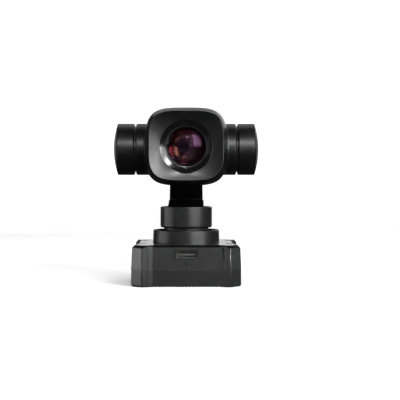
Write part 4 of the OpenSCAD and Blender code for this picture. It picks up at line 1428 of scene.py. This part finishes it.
@dataclass
class PitchDrums(SubAssembly):
    """The two outer drums on the yoke's arms, with their domed caps."""

    axis_z: float = PITCH_CENTRE[2]
    out: float = 26.9
    radius: float = DRUM_RADIUS
    rim_reach: float = 0.6
    rim_radius: float = 0.12
    lug: Point = (9.5, 12.8)
    lug_radius: float = 0.3
    least_edge: float = 1.0

    def edge(self, middle: Vector, way: Vector, length: float) -> float:
        """Radius of one drum edge: rims are rounded, the lug a little more.

        Args:
            middle: The edge's middle.
            way: Its direction.
            length: Its length.

        Returns:
            The radius in millimetres, 0 for an edge that stays sharp.
        """
        start, end = self.lug
        if middle.y > start:
            return self.lug_radius if length > self.least_edge and middle.y < end else 0.0
        reach = math.hypot(middle.y, middle.z - self.axis_z)
        return self.rim_radius if reach > self.radius - self.rim_reach and abs(way.x) < ACROSS else 0.0

    def drum(self, side: Side, node: str, cap: str) -> None:
        """One drum and its cap.

        Args:
            side: The end of the pitch axis.
            node: The drum's CAD node.
            cap: The cap's CAD node.
        """
        settle(softened(node, self.edge), [DRUM_BLACK], Body.ROLL, "drum_black", node)
        place = along(Axis.X, (side.value * self.out, 0, self.axis_z), side is Side.RIGHT)
        made = smoothed(spun(cap + "_dome", CAP.profile(), place))
        settle(made, [DRUM_BLACK], Body.ROLL, "drum_black", cap)

    def build(self) -> None:
        """Drums and caps on both sides."""
        self.drum(Side.LEFT, "pitch_motor_housing", "left_end_cap")
        self.drum(Side.RIGHT, "right_drum", "right_end_cap")

    def dress(self) -> None:
        """Finishes of the pitch motor's inner pieces."""
        coat(IRON, "pitch_stator")
        coat(COPPER, "pitch_coils")
        coat(BRIGHT_STEEL, "pitch_bearings", "right_bearings")


@dataclass(frozen=True)
class Surface:
    """One glass surface: its radius, its curve and the place of its middle.

    The curve is negative where the surface is hollow towards the front.
    """

    radius: float
    curve: float
    y: float
    chords: int = 24

    def profile(self) -> list[Point]:
        """Points of the surface from the axis outwards.

        Returns:
            Radius and place of each point.
        """
        reach = [self.radius * i / self.chords for i in range(self.chords + 1)]
        sag = [abs(self.curve) - math.sqrt(self.curve ** 2 - r ** 2) for r in reach]
        return [(r, self.y + math.copysign(s, self.curve)) for r, s in zip(reach, sag)]


@dataclass(frozen=True)
class LensElement:
    """One lens element; the rim's points run from the back to the front."""

    name: str
    finish: Finish
    front: Surface
    back: Surface
    nodes: tuple[str, ...] = ()
    rim: tuple[Point, ...] = ()

    def build(self, place: Matrix) -> None:
        """Makes the element.

        Args:
            place: The lens axis.
        """
        profile = [*self.back.profile(), *self.rim, *reversed(self.front.profile())]
        made = smoothed(spun(self.name, profile, place))
        settle(made, [self.finish], Body.HEAD, "lens_glass", *self.nodes)


@dataclass
class Lens(SubAssembly):
    """The retaining ring, the front lens, four coated inner elements and the barrel."""

    centre: Spot = LENS_CENTRE
    seat_y: float = -13.6
    cone_y: float = -15.5
    ring_sink: float = 0.1
    ring_radius: float = 8.1
    ring_edge: float = 7.8
    ring_round: float = 0.26
    ring_break: float = 0.02
    bore: float = 6.8
    ridge_root: float = 7.05
    ridge_pitch: float = 0.9
    ridge_land: float = 0.55
    ridge_end: float = 0.6
    rear_chamber: float = 1.0
    rear_ridges: int = 5
    front_chamber: float = -7.3
    front_ridges: int = 7
    baffle: tuple[Point, ...] = ((3.45, -4.0), (3.45, -6.9), (6.8, -7.2))
    elements: tuple[LensElement, ...] = (
        LensElement("front_lens_glass", FRONT_GLASS, Surface(7.78, 15.7, -15.7), Surface(6.5, 15.2, -15.1),
                    ("front_lens",), ((6.75, -11.8), (6.75, -13.56))),
        LensElement("red_lens_element", RED_GLASS, Surface(6.7, -25.6, -9.9), Surface(6.7, -60.0, -8.3),
                    ("inner_lenses",)),
        LensElement("amber_lens_element", AMBER_GLASS, Surface(5.0, -15.7, -10.6), Surface(5.0, -60.0, -9.6)),
        LensElement("violet_lens_element", VIOLET_GLASS,
                    Surface(3.1, 9.9, -12.3), Surface(3.1, -60.0, -10.5)),
        LensElement("pink_lens_element", PINK_GLASS, Surface(1.9, 6.4, -12.9), Surface(1.9, -60.0, -12.0)),
    )

    def ridges(self, start: float, count: int) -> list[Point]:
        """Ridges of the barrel's bore, which keep stray light down.

        Args:
            start: Place of the first ridge.
            count: Number of ridges.

        Returns:
            Points of the bore.
        """
        points: list[Point] = []
        for i in range(count):
            y = start - i * self.ridge_pitch
            points += [(self.bore, y), (self.bore, y - self.ridge_land)]
            points.append((self.ridge_root, y - self.ridge_end))
        return points

    def build(self) -> None:
        """Ring, elements and barrel on the lens axis."""
        place = along(Axis.Y, self.centre)
        front = self.cone_y + self.ring_sink
        outline = [(self.ring_radius, self.seat_y), (self.ring_radius, front), (self.ring_edge, front),
                   (self.ring_edge, self.seat_y)]
        profile = rounded(outline, [0, self.ring_round, self.ring_break, 0], steps=6)
        ring = smoothed(spun("lens_retaining_ring", profile, place))
        settle(ring, [RING_EDGE], Body.HEAD, "ring_metal", "lens_ring")
        for element in self.elements:
            element.build(place)
        steps = [(self.ring_radius, self.seat_y), (self.ring_radius, self.rear_chamber)]
        steps += self.ridges(self.rear_chamber, self.rear_ridges)
        steps += self.baffle
        steps += self.ridges(self.front_chamber, self.front_ridges)
        steps.append((self.bore, self.seat_y))
        tube = smoothed(spun("lens_barrel_ridged", steps, place))
        settle(tube, [BARREL_BLACK], Body.HEAD, "barrel_black", "lens_barrel")

    def dress(self) -> None:
        """Finishes of the sensor and its board."""
        coat(SENSOR, "image_sensor")
        coat(BOARD, "sensor_board")


@dataclass
class CameraHead(SubAssembly):
    """The rounded square head, its hub collars and its lens."""

    screws: ScrewTree
    lens: Lens
    axis_z: float = PITCH_CENTRE[2]
    centre_z: float = LENS_CENTRE[2]
    # Outer form
    half_w: float = 15.8
    half_h: float = 15.1
    square: float = 3.8
    wall: float = 1.4
    split_y: float = -11.1
    split_chamfer: float = 0.1
    back_y: float = 12.0
    back_round: float = 9.0
    back_shrink: float = 4.0
    back_steps: int = 14
    # Front rim, flared bevel and dish
    front_y: float = -19.0
    front_w: float = 14.4
    front_h: float = 13.45
    rim_lift: float = 0.3
    rim_bow: float = 2.2
    rim_land: float = 0.15
    rim_break: Point = (0.05, 0.03)
    bevel: float = 5.5
    bevel_steps: int = 12
    dish_radius: float = 10.25
    dish_depth: float = 1.2
    dish_bulge: float = 0.2
    dish_steps: int = 8
    dish_lip: Point = (0.16, 0.17)
    # Cone, bore and lens guide
    cone_radius: float = 8.2
    cone_steps: tuple[Point, ...] = ((0, 0), (0.1, 1.05), (0.16, 1.25), (0.28, 1.35))
    bore: float = 8.12
    guide: float = 9.2
    plate_y: float = -14.5
    plate_chamfer: float = 1.6
    # Hub collars
    hub_radius: float = DRUM_RADIUS
    hub_outer: float = 19.85
    hub_hole: float = 3.0
    hub_edge: tuple[Point, ...] = ((0.5, 0), (0.42, 0.03), (0.04, 0.41), (0, 0.5), (0, 1.5))
    hub_floor: float = 1.6
    hub_cavity: float = 8.4
    hub_fillet: float = 1.0
    fillet_steps: int = 6
    fillet_sink: float = 0.02
    fillet_tuck: float = 0.3
    hub_skirt: float = 13.9
    hub_skirt_radius: float = 10.75
    skirt_gap: float = 0.1
    skirt_step: float = 0.2
    # Pockets and screw wells in the rear shell
    pocket_gap: float = 0.02
    pocket_lead: float = 4.0
    pocket_depth: float = 12.0
    screw_x: float = 8.9
    screw_z: float = 9.0
    screw_y: float = -6.1
    screw_length: float = 8.4
    well_radius: float = 1.2
    well_y: float = 2.0
    well_depth: float = 16.0

    def ring(self, sketch: Sketch, a: float, b: float, power: float, y: float, share: float = 0) -> Ring:
        """One rounded square ring round the lens axis.

        Args:
            sketch: Where the points go.
            a: Half width.
            b: Half height.
            power: 2 for an ellipse, 4 for a rounded square.
            y: Place along the lens axis.
            share: How much of the rim's lift and forward bow the ring has.

        Returns:
            The ring's vertices.
        """
        points = []
        for angle in round_angles():
            c, s = math.cos(angle), math.sin(angle)
            reach = (abs(c / a) ** power + abs(s / b) ** power) ** (-1 / power)
            bow = self.rim_bow * share * (reach / a - 1)
            points.append((reach * c, y - bow, self.centre_z + self.rim_lift * share + reach * s))
        return sketch.ring(points)

    def back_size(self, y: float) -> Point:
        """Size of the head at a place behind its front.

        Args:
            y: The place.

        Returns:
            Half width and half height.
        """
        start = self.back_y - self.back_round
        if y <= start:
            return self.half_w, self.half_h
        share = 1 - math.sqrt(max(0.0, 1 - min(1.0, (y - start) / self.back_round) ** 2))
        return self.half_w - self.back_shrink * share, self.half_h - self.back_shrink * share

    def back_places(self) -> list[float]:
        """Places of the rings of the rounded back."""
        turns = [i / self.back_steps * math.pi / 2 for i in range(self.back_steps + 1)]
        return [self.back_y - self.back_round + self.back_round * math.sin(turn) for turn in turns]

    def bezel(self) -> bpy.types.Object:
        """The front shell: rim, flared bevel, dish, glossy cone and lens guide.

        Returns:
            The shell, with the cone, bore and guide as its second finish.
        """
        sketch = Sketch()
        rings: list[Ring] = []
        marks: list[int] = []

        def step(a: float, b: float, y: float, share: float = 0, power: float = self.square) -> None:
            """Adds a satin ring of a rounded square."""
            rings.append(self.ring(sketch, a, b, power, y, share))
            marks.append(0)

        def gloss(radius: float, y: float) -> None:
            """Adds a glossy round ring."""
            rings.append(self.ring(sketch, radius, radius, 2, y))
            marks.append(1)

        land_w, land_h = self.front_w - self.rim_land, self.front_h - self.rim_land
        for i in range(self.dish_steps + 1):
            s = 1 - i / self.dish_steps
            a = land_w + (self.dish_radius - self.front_w + self.rim_land) * s
            b = land_h + (self.dish_radius - self.front_h + self.rim_land) * s
            sunk = (1 - self.dish_bulge) * s + self.dish_bulge * math.sin(s * math.pi / 2)
            power = self.square - (self.square - 2) * s
            step(a, b, self.front_y + self.dish_depth * sunk, 1 - s, power)
        inset, drop = self.rim_break
        step(self.front_w - inset, self.front_h - inset, self.front_y + drop, 1)
        for i in range(1, self.bevel_steps + 1):
            s = i / self.bevel_steps
            a = self.front_w + (self.half_w - self.front_w) * math.sin(s * math.pi / 2)
            b = self.front_h + (self.half_h - self.front_h) * math.sin(s * math.pi / 2)
            step(a, b, self.front_y + self.bevel * s, 1 - s)
        inner_w, inner_h = self.half_w - self.wall, self.half_h - self.wall
        step(self.half_w, self.half_h, self.split_y - self.split_chamfer)
        step(self.half_w - self.split_chamfer, self.half_h - self.split_chamfer, self.split_y)
        step(inner_w, inner_h, self.split_y)
        step(inner_w, inner_h, self.plate_y + self.plate_chamfer)
        step(inner_w - self.plate_chamfer, inner_h - self.plate_chamfer, self.plate_y)
        gloss(self.guide, self.plate_y)
        gloss(self.guide, self.split_y)
        gloss(self.bore, self.split_y)
        gloss(self.bore, self.lens.cone_y)
        for reach, rise in self.cone_steps:
            gloss(self.cone_radius + reach, self.lens.cone_y - rise)
        inset, drop = self.dish_lip
        gloss(self.dish_radius - inset, self.front_y + self.dish_depth + drop)
        sketch.loft(rings, True, marks)
        return smoothed(held("head_bezel", sketch.mesh("head_bezel")))

    def shell(self) -> bpy.types.Object:
        """The rear shell with its inner wall, hub pockets and screw wells.

        Returns:
            The shell.
        """
        sketch = Sketch()
        power, cut, wall = self.square, self.split_chamfer, self.wall
        rings = [self.ring(sketch, self.half_w - cut, self.half_h - cut, power, self.split_y),
                 self.ring(sketch, self.half_w, self.half_h, power, self.split_y + cut)]
        for y in self.back_places():
            rings.append(self.ring(sketch, *self.back_size(y), power, y))
        rings.append(sketch.ring([(0, self.back_y, self.centre_z)]))
        rings.append(sketch.ring([(0, self.back_y - wall, self.centre_z)]))
        for y in reversed(self.back_places()):
            a, b = self.back_size(y)
            rings.append(self.ring(sketch, a - wall, b - wall, power, y - wall))
        rings.append(self.ring(sketch, self.half_w - wall, self.half_h - wall, power, self.split_y))
        sketch.loft(rings, True)
        shell = held("head_shell", sketch.mesh("head_shell"))
        radius, depth = self.hub_skirt_radius + self.pocket_gap, self.pocket_depth
        pocket = [(0, 0), (radius, 0), (radius, depth), (0, depth)]
        well = [(0, 0), (self.well_radius, 0), (self.well_radius, self.well_depth), (0, self.well_depth)]
        start = self.hub_skirt - self.pocket_lead
        cutters = []
        for side in Side:
            place = along(Axis.X, (side.value * start, 0, self.axis_z), side is Side.RIGHT)
            cutters.append(spun("pocket", pocket, place))
        for sx in BOTH:
            for sz in BOTH:
                place = along(Axis.Y, (sx * self.screw_x, self.well_y, self.centre_z + sz * self.screw_z))
                cutters.append(spun("well", well, place))
        return smoothed(carved(shell, cutters))

    def collar(self, side: Side) -> bpy.types.Object:
        """A hub collar that flows into the head's side.

        Args:
            side: The end of the pitch axis.

        Returns:
            The collar.
        """
        sketch = Sketch()
        name = side.name.lower() + "_collar"
        radius, out, fillet = self.hub_radius, self.hub_outer, self.hub_fillet

        def flat_ring(reach: float, x: float) -> Ring:
            """A round ring at one place along the axis."""
            turns = [(reach * math.cos(a), self.axis_z + reach * math.sin(a)) for a in round_angles()]
            return sketch.ring((side.value * x, y, z) for y, z in turns)

        def side_ring(reach: float, lift: float) -> Ring:
            """A ring that follows the head's side.

            Args:
                reach: Radius of the ring.
                lift: How far it stands off the side.

            Returns:
                The ring's vertices.
            """
            points = []
            for angle in round_angles():
                y, z = reach * math.cos(angle), self.axis_z + reach * math.sin(angle)
                a, b = self.back_size(y)
                x = a * max(0.0, 1 - abs((z - self.centre_z) / b) ** self.square) ** (1 / self.square)
                points.append((side.value * (x + lift), y, z))
            return sketch.ring(points)

        rings = [flat_ring(self.hub_hole, out)]
        rings += [flat_ring(radius - inset, out - drop) for inset, drop in self.hub_edge]
        for i in range(self.fillet_steps + 1):
            angle = math.radians(90 * i / self.fillet_steps)
            lift = fillet * (1 - math.sin(angle)) - self.fillet_sink
            rings.append(side_ring(radius + fillet * (1 - math.cos(angle)), lift))
        rings.append(side_ring(radius + fillet, -self.fillet_tuck))
        skirt = self.hub_skirt_radius - self.skirt_gap
        floor = out - self.hub_floor
        rings += [flat_ring(skirt, self.hub_skirt + self.skirt_step), flat_ring(skirt, self.hub_skirt)]
        rings += [flat_ring(self.hub_cavity, self.hub_skirt), flat_ring(self.hub_cavity, floor)]
        rings.append(flat_ring(self.hub_hole, floor))
        sketch.loft(rings, True)
        return smoothed(held(name, sketch.mesh(name)))

    def build(self) -> None:
        """Bezel, shell, collars, lens and screws."""
        settle(self.bezel(), [HEAD_SATIN, CONE_GLOSS], Body.HEAD, "head_black", "head_front_bezel")
        settle(self.shell(), [HEAD_REAR], Body.HEAD, "head_black", "head_rear_shell")
        settle(self.collar(Side.LEFT), [DRUM_BLACK], Body.HEAD, "drum_black", "left_hub_collar")
        settle(self.collar(Side.RIGHT), [DRUM_BLACK], Body.HEAD, "drum_black", "right_hub_collar")
        self.lens.build()
        places = [(sx * self.screw_x, self.screw_y, self.centre_z + sz * self.screw_z)
                  for sx in BOTH for sz in BOTH]
        screws = MOTOR_SCREW.set_out(
            self.screws, "head_screw_set", self.screw_length, places, [(0, 1, 0)] * len(places))
        settle(screws, [SCREW_STEEL], Body.HEAD, "screw_steel", "head_screws")

    def dress(self) -> None:
        """Finishes of the head's inner pieces."""
        coat(ROTOR, "pitch_rotor", "right_axle")
        coat(NICKEL, "pitch_magnets")
        coat(BRIGHT_STEEL, "pitch_shaft")
        coat(SCREW_STEEL, "hub_screws")
        self.lens.dress()


# Studio


@dataclass(frozen=True)
class Softbox:
    """One soft lamp, placed by angles round the object.

    The azimuth is 0 towards the camera and positive to the right.
    """

    name: str
    azimuth: float
    elevation: float
    distance: float
    width: float
    height: float
    radiance: float
    mirrored: bool = True

    def light(self, aim: Vector) -> None:
        """Adds the lamp, turned towards a point.

        Args:
            aim: The point.
        """
        data = bpy.data.lights.new(self.name, "AREA")
        data.shape = "RECTANGLE"
        data.size = self.width
        data.size_y = self.height
        data.energy = self.radiance * math.pi * self.width * self.height
        lamp = bpy.data.objects.new(self.name, data)
        a, e = math.radians(self.azimuth), math.radians(self.elevation)
        away = Vector((math.sin(a) * math.cos(e), -math.cos(a) * math.cos(e), math.sin(e)))
        lamp.location = aim + away * self.distance
        lamp.rotation_euler = away.to_track_quat("Z", "Y").to_euler()
        lamp.visible_camera = False
        lamp.visible_glossy = self.mirrored
        bpy.context.scene.collection.objects.link(lamp)


@dataclass
class Studio:
    """Floor, white surround, softboxes and the camera of the photograph, in metres."""

    eye: Spot = (0.0, -0.430, 0.044)
    focal_pixels: float = 1075.0
    image: float = 400.0
    object_column: float = 186.2
    horizon_row: float = 172.15
    ambient: float = 0.035
    wall: float = 1.27
    wall_low: float = 0.1
    wall_edge: Point = (0.86, 0.985)
    wall_foot: Point = (-0.05, -0.005)
    floor_half: float = 0.34
    floor_drop: float = 0.00005
    floor_tones: Point = (0.955, 0.965)
    floor_cloud: float = 40.0
    aim: Spot = (0, 0, 0.045)
    boxes: tuple[Softbox, ...] = (
        *(Softbox(f"key_strip_{i}", 26 + 16 * i, 20, 0.5, 0.085, 0.32, 17.0) for i in range(3)),
        Softbox("side_left", -88, 10, 0.6, 0.52, 0.44, 1.65),
        Softbox("left_fill", -33, 0, 0.6, 0.4, 0.4, 0.2),
        Softbox("front_top", -6, 28, 0.6, 0.46, 0.34, 0.3),
        Softbox("front_strip", 2, 29, 0.6, 0.06, 0.016, 430.0),
        Softbox("back_right", 150, 20, 0.7, 0.35, 0.3, 1.8),
        Softbox("top_back", 180, 50, 0.7, 0.9, 0.45, 0.85),
        Softbox("floor_lamp", 0, 89, 1.0, 1.0, 1.0, 2.0, mirrored=False),
    )

    @staticmethod
    def fade(tree: bpy.types.NodeTree, value: Socket, edge: Point, ends: Point) -> Socket:
        """A soft step from one level to another.

        Args:
            tree: Node tree of the world.
            value: The value that the step follows.
            edge: Where the step starts and ends.
            ends: Level before and after the step.

        Returns:
            The stepped level.
        """
        made = tree.nodes.new("ShaderNodeMapRange")
        made.interpolation_type = "SMOOTHSTEP"
        for name, number in zip(("From Min", "From Max", "To Min", "To Max"), (*edge, *ends)):
            made.inputs[name].default_value = number
        tree.links.new(value, made.inputs["Value"])
        return made.outputs["Result"]

    def world(self) -> None:
        """White to the eye; for the rest a dim room with a white wall behind the object."""
        made = bpy.data.worlds.new("white_surround")
        made.use_nodes = True
        tree = made.node_tree
        nodes, links = tree.nodes, tree.links
        ways = nodes.new("ShaderNodeSeparateXYZ")
        links.new(nodes.new("ShaderNodeTexCoord").outputs["Generated"], ways.inputs[0])
        back = self.fade(tree, ways.outputs["Y"], self.wall_edge, (0, 1))
        high = self.fade(tree, ways.outputs["Z"], self.wall_foot, (self.wall_low, self.wall))
        wall = nodes.new("ShaderNodeMath")
        wall.operation = "MULTIPLY_ADD"
        links.new(back, wall.inputs[0])
        links.new(high, wall.inputs[1])
        wall.inputs[2].default_value = self.ambient
        level = nodes.new("ShaderNodeMath")
        level.operation = "MAXIMUM"
        links.new(wall.outputs[0], level.inputs[0])
        links.new(nodes.new("ShaderNodeLightPath").outputs["Is Camera Ray"], level.inputs[1])
        links.new(level.outputs[0], nodes["Background"].inputs["Strength"])
        nodes["Background"].inputs["Color"].default_value = (1, 1, 1, 1)
        bpy.context.scene.world = made

    def floor(self) -> None:
        """A plain pale floor under the base."""
        h = self.floor_half
        mesh = bpy.data.meshes.new("floor")
        mesh.from_pydata([(-h, -h, 0), (h, -h, 0), (h, h, 0), (-h, h, 0)], [], [(0, 1, 2, 3)])
        made = held("floor", mesh)
        made.location.z = -self.floor_drop
        made.visible_glossy = False
        sheet = Sheet("pale_floor")
        cloud = sheet.noise(sheet.place(), self.floor_cloud, 2)
        low, high = ((tone, tone, tone) for tone in self.floor_tones)
        sheet.fill(sheet.shader, {
            "Base Color": sheet.mix(cloud, low, high), "Roughness": 0.9, "Specular IOR Level": 0.0})
        mesh.materials.append(sheet.material)

    def camera(self) -> None:
        """The camera at the photograph's height, distance and aim."""
        data = bpy.data.cameras.new("photo_camera")
        data.lens = self.focal_pixels / self.image * data.sensor_width
        made = bpy.data.objects.new("photo_camera", data)
        down = math.atan((self.image / 2 - self.horizon_row) / self.focal_pixels)
        right = math.atan((self.image / 2 - self.object_column) / self.focal_pixels)
        made.location = self.eye
        made.rotation_euler = (math.pi / 2 - down, 0, -right)
        bpy.context.scene.collection.objects.link(made)
        bpy.context.scene.camera = made

    def set_up(self) -> None:
        """Builds the whole studio."""
        bpy.context.scene.view_settings.view_transform = "Standard"
        self.world()
        self.floor()
        for box in self.boxes:
            box.light(Vector(self.aim))
        self.camera()


def main() -> None:
    """Builds and dresses every sub-assembly, then the studio."""
    logging.basicConfig(level=logging.INFO, format="%(name)s %(message)s")
    screws = ScrewTree()
    parts: list[SubAssembly] = [
        BaseCase(screws, RowTree()), YawStage(), Neck(screws), RollStage(screws), PitchDrums(),
        CameraHead(screws, Lens())]
    for part in parts:
        part.build()
        part.dress()
    Studio().set_up()


if __name__ == "__main__":
    main()
